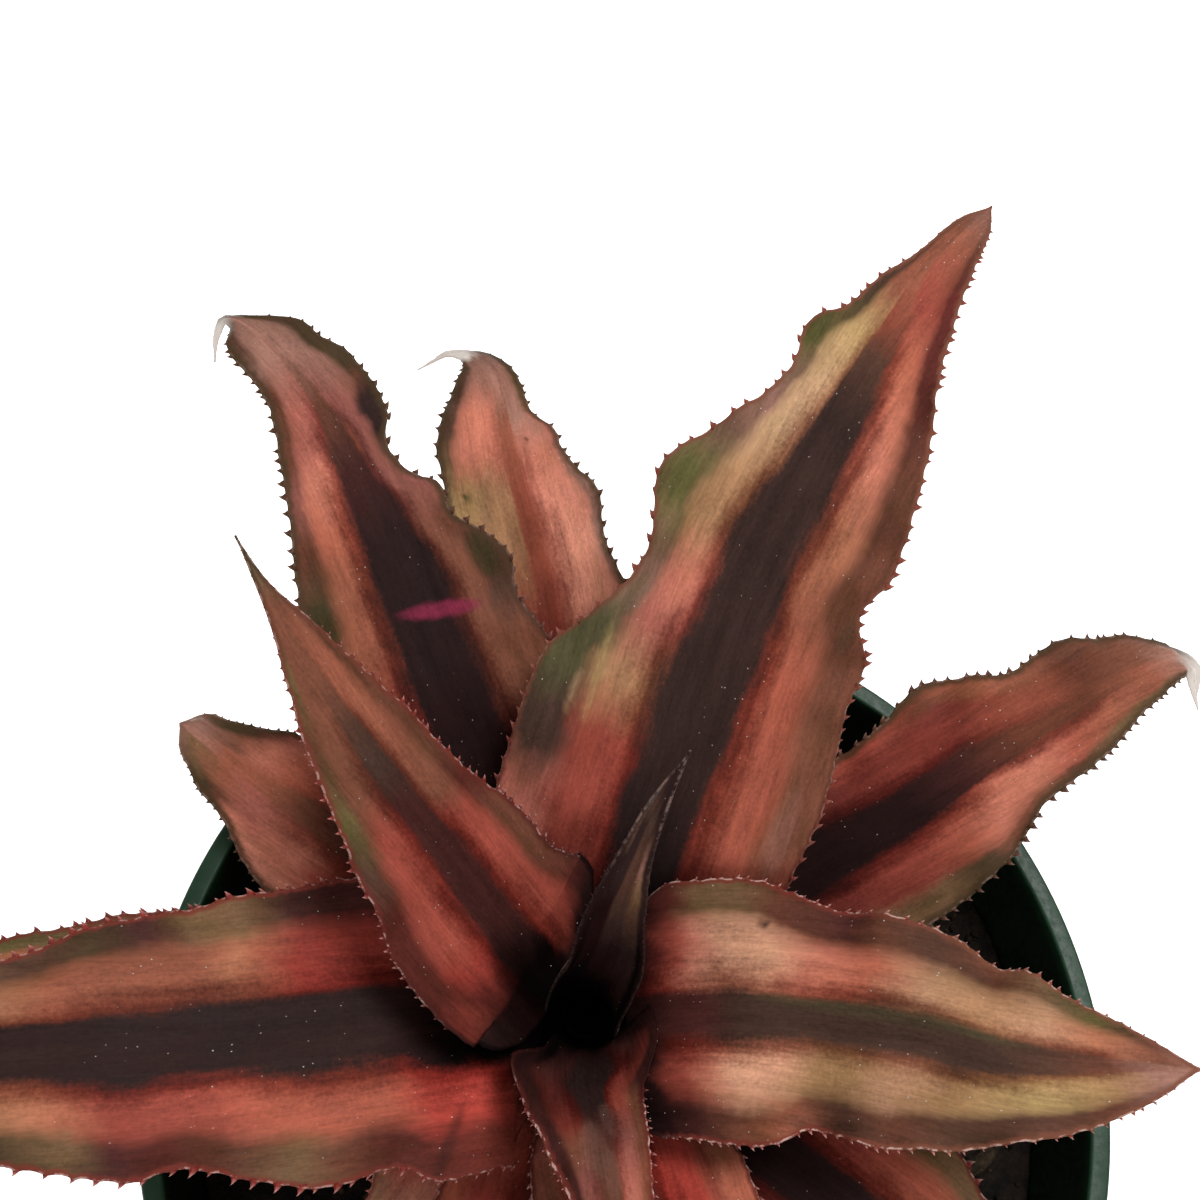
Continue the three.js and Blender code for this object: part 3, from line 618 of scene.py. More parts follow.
class Build:
    """Vertices in millimetres, faces, a material number for each face, and values at the vertices."""

    def __init__(self):
        self.places = []
        self.faces = []
        self.slots = []
        self.values = {}
        self.count = 0

    def add(self, places, faces, slot=0, **values):
        """Adds one closed piece. Each value holds a number, or three, for every one of its vertices."""
        places = np.asarray(places, float).reshape(-1, 3)
        self.faces += [tuple(self.count + i for i in face) for face in faces]
        self.slots += [slot] * len(faces)
        self.places.append(places)
        for name, value in values.items():
            self.values.setdefault(name, []).append(np.asarray(value, float).reshape(len(places), -1))
        self.count += len(places)

    def object(self, name, materials):
        """The pieces as one smooth object in the scene."""
        mesh = bpy.data.meshes.new(name)
        mesh.from_pydata((np.concatenate(self.places) * MM).tolist(), [], self.faces)
        mesh.polygons.foreach_set("material_index", self.slots)
        mesh.polygons.foreach_set("use_smooth", [True] * len(self.faces))
        for value_name, chunks in self.values.items():
            value = np.concatenate(chunks).astype(np.float32)
            kind, field = ("FLOAT", "value") if value.shape[1] == 1 else ("FLOAT_VECTOR", "vector")
            attribute = mesh.attributes.new(value_name, kind, "POINT")
            attribute.data.foreach_set(field, value.ravel())
        for material in materials:
            mesh.materials.append(material)
        mesh.validate()
        return in_scene(name, mesh)


def in_scene(name, data):
    """An object with this data, in the scene."""
    thing = bpy.data.objects.new(name, data)
    bpy.context.scene.collection.objects.link(thing)
    return thing


def grid_faces(rows, columns, start=0, flip=False, wrap=False):
    """Quads between rows of vertices. wrap joins the last column to the first."""
    faces = []
    for i in range(rows - 1):
        for j in range(columns if wrap else columns - 1):
            a = start + i * columns + j
            b = start + i * columns + (j + 1) % columns
            faces.append((a, a + columns, b + columns, b) if flip else (a, b, b + columns, a + columns))
    return faces


# ---------------------------------------------------------------- leaves


def from_stem(places):
    """How far places are from the rosette's axis."""
    return np.hypot(places[..., 0] - STEM[0], places[..., 1] - STEM[1])


def turned_round_stem(places, angle):
    """Places carried round the rosette's axis by an angle each, counter-clockwise from above."""
    x = places[..., 0] - STEM[0]
    y = places[..., 1] - STEM[1]
    cos = np.cos(angle)
    sin = np.sin(angle)
    return np.stack([STEM[0] + x * cos - y * sin, STEM[1] + x * sin + y * cos, places[..., 2]], -1)


class Leaf:
    """The shape of one leaf: a line from the stem to the tip, and a blade on both sides of it."""

    def __init__(self, name, seed):
        self.shape = LEAVES[name]
        self.look = STRIPES[name]
        self.widths = {1: numbers(self.shape["left"]), -1: numbers(self.shape["right"])}
        self.random = np.random.default_rng(seed)
        self.seed = seed
        knots = numbers(self.shape["midrib"])
        padded = np.vstack([2 * knots[0] - knots[1], knots, 2 * knots[-1] - knots[-2]])
        t = np.linspace(0, len(knots) - 1, BLADE["samples"])
        k = np.minimum(t.astype(int), len(knots) - 2)
        s = (t - k)[:, None]
        p0, p1, p2, p3 = (padded[k + i] for i in range(4))
        square = 2 * p0 - 5 * p1 + 4 * p2 - p3
        cube = 3 * p1 - p0 - 3 * p2 + p3
        self.line = 0.5 * (2 * p1 + (p2 - p0) * s + square * s**2 + cube * s**3)
        steps = np.linalg.norm(np.diff(self.line, axis=0), axis=1)
        self.run = np.concatenate([[0], np.cumsum(steps)])
        self.length = self.run[-1]
        radius = from_stem(self.line)
        outward = radius >= np.maximum.accumulate(radius)
        self.bowl = radius[outward], self.line[outward, 2]
        self.phases = {side: self.random.uniform(0, 2 * np.pi, 3) for side in (-1, 1)}
        self.cusps = {side: self.spine_places() for side in (-1, 1)}

    def spine_places(self):
        """Distances along the leaf of one margin's spines, closer on a young leaf and near a tip."""
        first, last = SPINE["stretch"]
        young = 0.8 if self.length < 66 else 1
        places = [first * self.length]
        while places[-1] < last * self.length:
            shorten = 1 - 0.35 * ease(places[-1] / self.length, 0.7, 1)
            places.append(places[-1] + young * shorten * self.random.uniform(*SPINE["spacing"]))
        return np.array(places)

    def point(self, along):
        """The midrib's point at distances along it."""
        return np.stack([np.interp(along, self.run, self.line[:, i]) for i in range(3)], -1)

    def frame(self, along):
        """The midrib's point, and the unit vectors forward, left and up, at distances along it."""
        step = 0.002 * self.length
        forward = unit(self.point(along + step) - self.point(along - step))
        left = unit(np.stack([-forward[..., 1], forward[..., 0], 0 * forward[..., 0]], -1))
        return self.point(along), forward, left, np.cross(forward, left)

    def half_width(self, along, side):
        """The half width on one side, with the scallops between spines."""
        half = smooth_run(self.widths[side], 100 * along / self.length)
        cusps = self.cusps[side]
        k = np.clip(np.searchsorted(cusps, along) - 1, 0, len(cusps) - 2)
        gap = cusps[k + 1] - cusps[k]
        share = np.clip((along - cusps[k]) / gap, 0, 1)
        notch = SPINE["notch"] * gap * np.sqrt(np.sin(np.pi * share).clip(0))
        return np.maximum(half + (SPINE["lift"] - notch) * ease(half, 0.4, 3), 0.12)

    def half_at(self, along, across):
        """The half width on the side that a place is on."""
        return np.where(across >= 0, self.half_width(along, 1), self.half_width(along, -1))

    def surface(self, along, across):
        """The middle of the blade's thickness, and its normal. across goes from -1, the right margin, to 1."""
        point, _, left, up = self.frame(along)
        half = self.half_at(along, across)
        offset = across * half
        if "rolled" in self.shape:
            roll = self.shape["rolled"]
            turn = (offset / roll)[..., None]
            normal = up * np.cos(turn) - left * np.sin(turn)
            return point + roll * (left * np.sin(turn) + up * (1 - np.cos(turn))), normal
        radius = from_stem(point)
        place = point + left * offset[..., None]
        if "clasp" in self.shape:
            wrapped = turned_round_stem(point, offset / radius)
            clasp = 1 - ease(along / self.length, 0.4 * self.shape["clasp"], self.shape["clasp"])
            place += (wrapped - place) * clasp[..., None]
        place[..., 2] += np.interp(from_stem(place), *self.bowl) - np.interp(radius, *self.bowl)
        return place + up * self.wave(along, across, half)[..., None], up

    def wave(self, along, across, half):
        """How far the blade waves up and down. The margins wave most, and the base not at all."""
        share = along / self.length
        grown = ease(share, 0.15, 0.45) * ease(half, 1.5, 9)
        edge = ease(np.abs(across), 0.35, 1)
        left, right = (ripple(along, WAVE["period"], self.phases[side]) for side in (1, -1))
        return grown * edge * WAVE["height"] * np.where(across >= 0, left, right)


def blade(build, leaf):
    """The closed blade, with what its material reads at every vertex."""
    rows = int(leaf.length / BLADE["station"]) + 1
    widest = max(leaf.half_width(np.linspace(0, leaf.length, 60), side).max() for side in (-1, 1))
    columns = 2 * int(widest / BLADE["column"]) + 7
    spread = np.linspace(-1, 1, columns)
    across = np.sign(spread) * (1 - (1 - np.abs(spread)) ** BLADE["crowding"])
    along, across = np.meshgrid(np.linspace(0, leaf.length, rows), across, indexing="ij")
    place, normal = leaf.surface(along, across)
    share = along / leaf.length
    swell = (1 - across**2) * (1 - 0.5 * share)
    thickness = BLADE["margin_thickness"] + (BLADE["thickness"] - BLADE["margin_thickness"]) * swell
    half = 0.5 * (thickness * ease(1 - share, -0.05, 0.08))[..., None]
    total = rows * columns
    number = np.arange(total).reshape(rows, columns)
    loop = np.concatenate([number[:, 0], number[-1, 1:], number[-2::-1, -1], number[0, -2:0:-1]]).tolist()
    faces = grid_faces(rows, columns, flip=True) + grid_faces(rows, columns, start=total)
    faces += [(a, a + total, b + total, b) for a, b in zip(loop, loop[1:] + loop[:1])]
    values = painted(leaf, along, across)
    values = {name: np.concatenate([value.reshape(total, -1)] * 2) for name, value in values.items()}
    values["under"] = np.repeat([0.0, 1.0], total)
    build.add(np.stack([place + normal * half, place - normal * half]), faces, **values)


def painted(leaf, along, across):
    """What the leaf's material reads: the colours of the bands, and how far a point is through them, with 0 on
    the midrib, 1 at the stripe's inner line, 2 at its outer line and 3 on the margin."""
    look = leaf.look
    percent = 100 * along / leaf.length
    half = leaf.half_at(along, across)
    offset = across * half

    def to_tip(text):
        """A run of colours that ends with the leaf's tip."""
        return pigment_run(f"{text} {look.get('tip', '')}", percent)

    def by_side(line, read):
        """A line of the look, on the side of the midrib that each place is on."""
        sides = (f"{side} {line}" for side in ("left", "right"))
        left, right = (read(look.get(side) or look.get(line) or USUAL[line]) for side in sides)
        on_left = across >= 0
        return np.where(on_left if left.ndim == 2 else on_left[..., None], left, right)

    inner, outer = (by_side(line, lambda text: level_run(text, percent)) for line in ("inner", "outer"))
    drift = DRIFT * (ripple(offset, 9, leaf.phases[1]) + 0.7 * ripple(along + 2 * offset, 6, leaf.phases[-1]))
    percent = percent + 100 * drift / leaf.length
    colours = {"centre": to_tip(look["centre"]), "stripe": by_side("stripe", to_tip)}
    colours["margin"] = by_side("margin", to_tip)
    pale = colours["centre"].mean(-1) / np.maximum(colours["stripe"].mean(-1), 1e-4)
    pale = ease(pale, 0.25, 0.75)[..., None]
    colours["blush"] = colours["stripe"] * (pale + (1 - pale) * BLUSH)
    share = np.abs(across)
    stripe = 1 + (share - inner) / (outer - inner)
    margin = 2 + (share - outer) / (1 - outer)
    for at, side, long, wide, pigment, strength, slant in look.get("marks", []):
        middle = at / 100 * leaf.length
        aside = offset - side * leaf.half_width(np.array([middle]), 1 if side >= 0 else -1)[0]
        reach = np.hypot((along - middle - slant * aside) / long * 2, aside / wide * 2)
        cover = (strength * (1 - ease(reach, 0.6, 1.1)))[..., None]
        for name in colours:
            colours[name] = colours[name] * (1 - cover) + linear(PIGMENT[pigment]) * cover
    colours["edge"] = pigment_run(look["edge"], percent)
    return {
        **{f"{name}_colour": value for name, value in colours.items()},
        "band": np.where(share < inner, share / inner, np.where(share < outer, stripe, margin)),
        "edge": 1 - np.clip((half - np.abs(offset)) / look.get("reach", EDGE_REACH), 0, 1),
        "share": along / leaf.length,
        "grain": np.stack([along, offset, np.full_like(along, GRAIN_STEP * leaf.seed)], -1),
        "lit": level_run(look["lit"], percent),
    }


def spines(build, leaf):
    """Small hooked spines on both margins, that lean towards the tip."""
    sides = SPINE["sides"]
    rings = len(SPINE["rings"])
    tip = rings * sides
    faces = grid_faces(rings, sides, wrap=True)
    faces += [(tip - sides + j, tip - sides + (j + 1) % sides, tip) for j in range(sides)]
    faces.append(tuple(reversed(range(sides))))
    grown = [*np.repeat([share for _, _, share in SPINE["rings"]], sides), 1]
    blank = np.zeros((tip + 1, 3))
    unseen = {f"{band}_colour": blank for band in ("centre", "blush", "stripe", "margin")}
    for side in (-1, 1):
        for along in leaf.cusps[side]:
            share = along / leaf.length
            half = leaf.half_width(np.array([along]), side)[0]
            size = leaf.random.uniform(*SPINE["length"]) * (0.55 + 0.45 * np.sin(np.pi * share**0.8))
            size *= 0.45 + 0.55 * float(ease(half, 0.6, 5))
            size *= 0.8 + 0.55 * float(ease(leaf.length, 50, 90))
            tilt = leaf.random.uniform(*SPINE["tilt"])
            (place,), (normal,) = leaf.surface(np.array([along]), np.array([side * SPINE["foot"]]))
            (_,), (forward,), (left,), _ = leaf.frame(np.array([along]))
            outward = unit(side * left + tilt * normal)
            places = []
            for height, girth, _ in SPINE["rings"]:
                lean = SPINE["lean"] * size * max(height, 0) ** 1.6
                middle = place + outward * size * height + forward * lean
                radius = SPINE["root"] * girth * size
                flat = SPINE["flatness"] * radius
                for turn in circle(sides):
                    places.append(middle + forward * radius * np.cos(turn) + normal * flat * np.sin(turn))
            places.append(place + outward * size + forward * SPINE["hook"] * size)
            build.add(
                places,
                [face[::-1] for face in faces] if side > 0 else faces,
                1,
                **unseen,
                edge_colour=pigment_run(leaf.look["edge"], np.full(tip + 1, 100 * share)),
                band=np.full(tip + 1, 3.0),
                edge=np.ones(tip + 1),
                share=grown,
                grain=blank,
                lit=np.full(tip + 1, level_run(leaf.look["lit"], 100 * share)),
                under=np.zeros(tip + 1),
            )


def leaf_object(name, seed, materials):
    leaf = Leaf(name, seed)
    build = Build()
    blade(build, leaf)
    spines(build, leaf)
    thing = build.object(f"{name}_grown", materials)
    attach(thing, "root")
    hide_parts(name)


# ---------------------------------------------------------------- materials


class Graph:
    """A material's node tree, with a short call for each kind of node."""

    def __init__(self, name):
        self.material = bpy.data.materials.new(name)
        self.material.use_nodes = True
        self.tree = self.material.node_tree

    def put(self, node, inputs):
        """Links a node's inputs, by name or number, to other outputs, or sets them to values."""
        for name, value in inputs.items():
            if isinstance(value, bpy.types.NodeSocket):
                self.tree.links.new(value, node.inputs[name])
            elif value is not None:
                node.inputs[name].default_value = value

    def node(self, kind, inputs, **settings):
        """The outputs of a new node."""
        node = self.tree.nodes.new(f"ShaderNode{kind}")
        for name, value in settings.items():
            setattr(node, name, value)
        self.put(node, inputs)
        return node.outputs

    def surfaced(self, colour, roughness, relief, shine, glow=0):
        """The material with its surface set. glow is how brightly it shines white by itself."""
        inputs = {"Base Color": colour, "Roughness": roughness, "Normal": relief, "Specular IOR Level": shine}
        if glow:
            inputs |= {"Emission Color": (1, 1, 1, 1), "Emission Strength": glow}
        self.put(self.tree.nodes["Principled BSDF"], inputs)
        return self.material

    def attribute(self, name, output="Fac"):
        return self.node("Attribute", {}, attribute_name=name)[output]

    def place(self):
        """The piece's own coordinates, in millimetres."""
        return self.stretch(self.node("TexCoord", {})["Object"], 1 / MM, 1 / MM, 1 / MM)

    def math(self, operation, a, b):
        return self.node("Math", {0: a, 1: b}, operation=operation)[0]

    def times(self, a, b):
        return self.math("MULTIPLY", a, b)

    def swayed(self, value, *swings):
        """value with patterns of 0 to 1 added, each as a swing of some amount either way."""
        for pattern, amount in swings:
            value = self.math("ADD", value, self.times(self.math("SUBTRACT", pattern, 0.5), 2 * amount))
        return value

    def stretch(self, vector, x, y, z):
        return self.node("VectorMath", {0: vector, 1: (x, y, z)}, operation="MULTIPLY")[0]

    def dim(self, colour, amount):
        """colour times a number."""
        return self.node("VectorMath", {0: colour, "Scale": amount}, operation="SCALE")[0]

    def height_of(self, vector):
        return self.node("SeparateXYZ", {0: vector})["Z"]

    def noise(self, vector, scale, detail=2.0, roughness=0.5):
        inputs = {"Vector": vector, "Scale": scale, "Detail": detail, "Roughness": roughness}
        return self.node("TexNoise", inputs)["Fac"]

    def cells(self, vector):
        """The distance to the nearest of many scattered points, and a random number for that point."""
        outputs = self.node("TexVoronoi", {"Vector": vector, "Scale": 1.0})
        return outputs["Distance"], self.node("SeparateXYZ", {0: outputs["Color"]})["X"]

    def step(self, value, low, high, to_low=0.0, to_high=1.0):
        """Eases from one number to another as value goes from low to high."""
        inputs = {"Value": value, "From Min": low, "From Max": high, "To Min": to_low, "To Max": to_high}
        return self.node("MapRange", inputs, interpolation_type="SMOOTHSTEP")["Result"]

    def mix(self, factor, a, b, blend="MIX"):
        """Goes from colour a to colour b as factor goes from 0 to 1."""
        return self.node("Mix", {"Factor": factor, 6: a, 7: b}, data_type="RGBA", blend_type=blend)[2]

    def bump(self, height, distance, under=None):
        """Raises the surface by height times distance, in millimetres, over an earlier bump."""
        inputs = {"Strength": 1.0, "Distance": distance * MM, "Height": height, "Normal": under}
        return self.node("Bump", inputs)[0]


def paint(colour):
    """An sRGB colour as a shader's constant."""
    return (*linear(colour), 1.0)


def leaf_material():
    g = Graph("earth_star_leaf")
    grain = g.attribute("grain", "Vector")
    edge = g.attribute("edge")
    bands = ("centre", "blush", "stripe", "margin", "edge")
    centre, blush, stripe, margin, rim = (g.attribute(f"{band}_colour", "Color") for band in bands)

    def veins(along, across, detail=3, roughness=0.5):
        """A pattern drawn out along the leaf, with its changes in a millimetre along and across it."""
        return g.noise(g.stretch(grain, along, across, 1), 1.0, detail, roughness)

    fibres = veins(0.16, 3.2)
    streaks = veins(0.05, 0.7)
    clouds = veins(0.12, 0.2, 4, 0.6)
    fine = veins(0.9, 4, 3, 0.6)
    pits = g.noise(grain, 2.2, 3, 0.65)
    band = g.swayed(g.attribute("band"), (streaks, 0.18), (pits, 0.12), (clouds, 0.35))
    colour = g.mix(g.step(band, 0.7, 1.12), centre, blush)
    colour = g.mix(g.step(band, 0.97, 1.5), colour, stripe)
    colour = g.mix(g.step(band, 1.72, 2.28), colour, margin)
    tinge = g.times(g.step(veins(0.13, 0.42), 0.44, 0.66), g.step(band, 1.4, 2.1, 0.12, 0.6))
    colour = g.mix(tinge, colour, TINGE, "MULTIPLY")
    shades = (clouds, 0.45), (fibres, 0.24), (streaks, 0.42), (fine, 0.32), (pits, 0.36)
    colour = g.dim(colour, g.swayed(1.03, *shades))
    dust = g.step(veins(0.08, 0.12), 0.42, 0.62)
    specks = g.math("ADD", scales(g, grain, 1.5, 0.055, 0.6), scales(g, grain, 0.7, 0.05, 0.72))
    colour = g.mix(g.times(specks, g.times(dust, 0.8)), colour, paint(SILVER))
    scurf = g.times(g.attribute("under"), g.step(g.noise(grain, 0.8, 4, 0.65), 0.25, 0.7, 0.35, 0.75))
    colour = g.mix(scurf, colour, paint(FROST))
    ragged = g.swayed(edge, (clouds, 0.35), (fine, 0.3))
    colour = g.mix(g.step(ragged, 0.3, 0.8, 0, 0.85), colour, rim)
    glint = g.times(g.attribute("lit"), g.step(g.noise(grain, 1.1, 3, 0.6), 0.45, 0.6))
    colour = g.mix(g.times(g.step(edge, 0.78, 0.95), glint), colour, paint(GLINT))
    relief = g.bump(veins(0.14, 0.3, 2), 0.45)
    relief = g.bump(pits, 0.04, g.bump(streaks, 0.15, relief))
    rough = g.swayed(g.step(clouds, 0.3, 0.7, 0.52, 0.68), (fibres, 0.08))
    return g.surfaced(colour, rough, relief, 0.06)


def scales(g, grain, density, radius, empty):
    """Small pale scales of the leaf, scattered, that leave this share of their places empty."""
    near, pick = g.cells(g.stretch(grain, 0.7 * density, density, 1))
    shape = g.step(near, radius * density * 1.4, radius * density * 0.7)
    return g.times(shape, g.step(pick, empty, empty + 0.03))


def spine_material():
    g = Graph("earth_star_spine")
    mottle = g.noise(g.place(), 1.4, 3)
    grown = g.step(g.swayed(g.attribute("share"), (mottle, 0.2)), 0.2, 1.0)
    colour = g.mix(1.0, g.attribute("edge_colour", "Color"), (1.35, 0.85, 0.85, 1), "MULTIPLY")
    colour = g.dim(colour, g.step(grown, 0, 1, 0.9, 1.4))
    colour = g.mix(g.times(g.attribute("lit"), grown), colour, paint((214, 176, 166)))
    colour = g.dim(colour, g.step(mottle, 0.2, 0.8, 0.75, 1.2))
    rough = g.step(mottle, 0.2, 0.8, 0.45, 0.65)
    relief = g.bump(mottle, 0.05)
    return g.surfaced(colour, rough, relief, 0.15)


def stem_material():
    g = Graph("earth_star_stem")
    place = g.place()
    rings = g.noise(g.stretch(place, 0.12, 0.12, 1.3), 1.0, 3)
    mottle = g.noise(place, 0.7, 4, 0.6)
    colour = g.mix(g.step(rings, 0.35, 0.65), paint((34, 20, 20)), paint((74, 46, 38)))
    colour = g.dim(colour, g.step(mottle, 0.2, 0.8, 0.6, 1.3))
    # painted shade: the stem's top, down in the crown where little light reaches, nearly black
    colour = g.mix(g.step(g.height_of(place), 75, 80), colour, paint((2, 1, 1)))
    relief = g.bump(mottle, 0.2, g.bump(rings, 0.5))
    rough = g.step(mottle, 0.2, 0.8, 0.8, 1.0)
    return g.surfaced(colour, rough, relief, 0.02)


def crumb_material(name, dark, light, grain_size):
    """Something granular or woody: two shades in blotches, with a rough broken surface."""
    g = Graph(name)
    place = g.place()
    blotch = g.noise(place, 0.45 / grain_size, 4, 0.65)
    fine = g.noise(place, 2.6 / grain_size, 4, 0.6)
    colour = g.mix(g.step(blotch, 0.32, 0.68), paint(dark), paint(light))
    colour = g.dim(colour, g.step(fine, 0.25, 0.75, 0.55, 1.35))
    relief = g.bump(fine, 0.25 * grain_size, g.bump(blotch, 0.5 * grain_size))
    rough = g.step(fine, 0.2, 0.8, 0.7, 1.0)
    return g.surfaced(colour, rough, relief, 0.15)


def pot_material():
    """Green plastic, dusty outside and nearly black inside, where little light comes."""
    g = Graph("grower_pot_plastic")
    place = g.place()
    cloud = g.noise(place, 0.05, 3)
    streak = g.noise(g.stretch(place, 0.5, 0.5, 0.03), 1.0, 3)
    dust = g.noise(place, 1.3, 4, 0.65)
    height = g.height_of(place)
    radius = g.node("VectorMath", {0: g.stretch(place, 1, 1, 0)}, operation="LENGTH")["Value"]
    colour = g.mix(g.step(cloud, 0.3, 0.7), paint((22, 52, 33)), paint((30, 64, 41)))
    colour = g.dim(colour, g.step(streak, 0.25, 0.75, 0.85, 1.15))
    colour = g.mix(g.step(dust, 0.62, 0.8, 0, 0.15), colour, paint((110, 112, 84)))
    # painted shade: the inside of the wall, below the lip, turned nearly black where little light comes
    under_lip = POT["lip_radius"] - POT["lip_width"]
    inside = g.times(g.step(radius, under_lip + 0.3, under_lip - 0.3), g.step(height, 5, 8))
    untapered = g.math("SUBTRACT", radius, g.times(height, POT["taper"]))
    middle = wall_radius(0) + POT["wall"] / 2
    inside = g.times(inside, g.step(untapered, middle + 0.3, middle - 0.1))
    colour = g.mix(g.times(inside, g.step(dust, 0.2, 0.8, 0.95, 0.8)), colour, paint((5, 9, 4)))
    rough = g.swayed(g.step(dust, 0.3, 0.8, 0.38, 0.58), (streak, 0.06))
    relief = g.bump(dust, 0.015, g.bump(cloud, 0.3))
    return g.surfaced(colour, rough, relief, 0.3)


def floor_material():
    g = Graph("white_sweep")
    place = g.place()
    fine = g.noise(place, 0.4, 3)
    white = g.mix(g.noise(place, 0.01, 2), paint((250, 250, 250)), paint((255, 255, 255)))
    return g.surfaced(white, g.step(fine, 0, 1, 0.85, 0.95), g.bump(fine, 0.02), 0.5, glow=0.85)


# ---------------------------------------------------------------- pot


def wall_radius(height):
    """The inside of the pot's wall."""
    return POT["lip_radius"] - POT["lip_width"] - (POT["height"] - height) * POT["taper"]


def arc(middle, radius, start, end, count):
    """Points (radius, height) of an arc from one angle to another, in degrees."""
    angles = np.radians(np.linspace(start, end, count))
    return [(middle[0] + radius * np.cos(a), middle[1] + radius * np.sin(a)) for a in angles]


def pot_outline():
    """The pot's section, from the axis under the floor, round the outside and the lip, to the axis above it."""
    top = POT["height"]
    lip = POT["lip_radius"]
    foot = wall_radius(0) + POT["wall"]
    corner = POT["foot_round"]
    channel_out = foot - POT["foot_width"]
    under = POT["channel_height"]
    over = under + POT["floor"]
    band = top - POT["band_height"]
    curl = POT["lip_round"]
    hub = POT["hub_radius"]
    points = [(0, 0), (hub - POT["ramp"], 0), (hub, under)]
    points += [(channel_out - POT["ramp"], under), (channel_out, 0)]
    points += arc((foot - corner, corner), corner, -90, -8, 5)
    points += [(wall_radius(h) + POT["wall"], h) for h in (20, 40, 60, band - 1.2)]
    groove = 0.4
    points += arc((wall_radius(band - 1) + POT["wall"] + groove, band - 0.6), groove, 180, 90, 3)
    edge = 0.5
    points += arc((lip - POT["band_flare"] - edge, band + edge), edge, -90, -8, 4)
    points += [(lip - 0.35, top - 3)]
    points += arc((lip - curl, top - curl), curl, -8, 90, 6)
    points += arc((lip - POT["lip_width"] + curl, top - curl), curl, 90, 188, 6)
    points += [(wall_radius(h), h) for h in (82.5, 70, 55, 40, 25, over + corner)]
    points += arc((wall_radius(over) - corner, over + corner), corner, 0, -90, 4)
    points += [(hub - POT["ramp"] - 1, over), (hub - POT["ramp"] - 2, POT["floor"]), (0, POT["floor"])]
    return points


def turned(build, outline, segments):
    """A closed solid turned about Z from points that start and end on the axis, the lower one first."""
    angles = circle(segments)
    rim = np.array(outline[1:-1])
    radius = rim[:, :1]
    height = np.repeat(rim[:, 1:], segments, 1)
    places = np.stack([radius * np.cos(angles), radius * np.sin(angles), height], -1).reshape(-1, 3)
    bottom = len(places)
    top = bottom + 1
    last = bottom - segments
    faces = grid_faces(len(rim), segments, wrap=True)
    for j in range(segments):
        k = (j + 1) % segments
        faces += [(bottom, k, j), (top, last + j, last + k)]
    ends = [(0, 0, outline[0][1]), (0, 0, outline[-1][1])]
    build.add(np.concatenate([places, ends]), faces)


def with_holes(thing, centres, radius, depth):
    """Cuts round upright holes through thing, below depth."""
    build = Build()
    for x, y in centres:
        drill = Build()
        turned(drill, [(0, -5), (radius, -5), (radius, depth), (0, depth)], POT["hole_segments"])
        build.add(drill.places[0] + (x, y, 0), drill.faces)
    cutter = build.object("drill", [])
    modifier = thing.modifiers.new("holes", "BOOLEAN")
    modifier.object = cutter
    modifier.operation = "DIFFERENCE"
    modifier.solver = "EXACT"
    bpy.context.view_layer.update()
    whole = thing.evaluated_get(bpy.context.evaluated_depsgraph_get())
    thing.data = bpy.data.meshes.new_from_object(whole)
    thing.modifiers.clear()
    bpy.data.objects.remove(cutter)


def pot_object():
    build = Build()
    turned(build, pot_outline(), POT["segments"])
    thing = build.object("pot_moulded", [pot_material()])
    out = POT["hole_circle"]
    with_holes(thing, [(out, 0), (0, out), (-out, 0), (0, -out)], POT["hole_radius"], POT["hole_depth"])
    thing.data.shade_smooth()
    thing.data.set_sharp_from_angle(angle=np.radians(POT["sharp"]))
    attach(thing, "root")
    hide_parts("pot")


# ---------------------------------------------------------------- potting mix

# Materials of the mix, each with its dark shade, its light shade and the size of its grain.
MIX = {
    "peat": ((9, 7, 5), (34, 25, 18), 1.0),
    "bark": ((18, 15, 11), (58, 46, 33), 1.2),
    "bark_inside": ((58, 43, 30), (112, 88, 61), 1.2),
    "perlite": ((150, 142, 126), (206, 198, 182), 1.0),
    "slate_grit": ((38, 54, 54), (82, 99, 96), 1.2),
}

# What is scattered over the mix: how many, the detail of the mesh, sizes in millimetres, length, width and
# height as shares of the size where they differ, material numbers, and how far each is raised, broken, tilted.
LITTER = [
    (2600, 1, (0.5, 1.3), [(0.6, 1.3), (0.6, 1.3), (0.6, 1.3)], [0, 0, 0, 1], 0.1, 0.6, 1),
    (260, 2, (1.4, 2.6), [(0.9, 1.5), (0.6, 1), (0.4, 0.7)], [0, 1, 1, 2], 0.25, 0.5, 0.5),
    (60, 2, (0.8, 1.8), [], [3], 0.3, 0.45, 1),
]

CHIP_RAISED = 0.3
CHIP_BROKEN = 0.45

# Larger pieces that lie on the mix: x, y, length, width, height, material number, tilt.
CHIPS = [
    (44.5, -6, 4.2, 2.6, 1.6, 1, 0.3),
    (42.5, -11.5, 6.5, 2.2, 1.3, 1, 0.2),
    (36.5, 15, 3.6, 2.4, 1.6, 2, 0.4),
    (-34, -33, 3.4, 3.1, 2.4, 4, 0.5),
    (-28.5, -36, 2.2, 1.7, 1.4, 3, 0.6),
    (38.5, -14.5, 3.2, 2.4, 2.0, 3, 0.6),
    (47, 4, 3.0, 1.6, 1.2, 1, 0.5),
    (40, 6, 2.4, 1.8, 1.4, 2, 0.5),
]


def soil_height(x, y):
    """The uneven top of the mix, with lumps of about 9 mm and crumbs of about 1 mm."""
    lumps = noise.fractal(Vector((x * 0.11, y * 0.11, 3)), 0.7, 2.2, 3)
    crumbs = noise.fractal(Vector((x * 0.8, y * 0.8, 9)), 0.6, 2.1, 3)
    return SOIL["level"] + 0.45 + 0.45 * lumps + 0.35 * crumbs


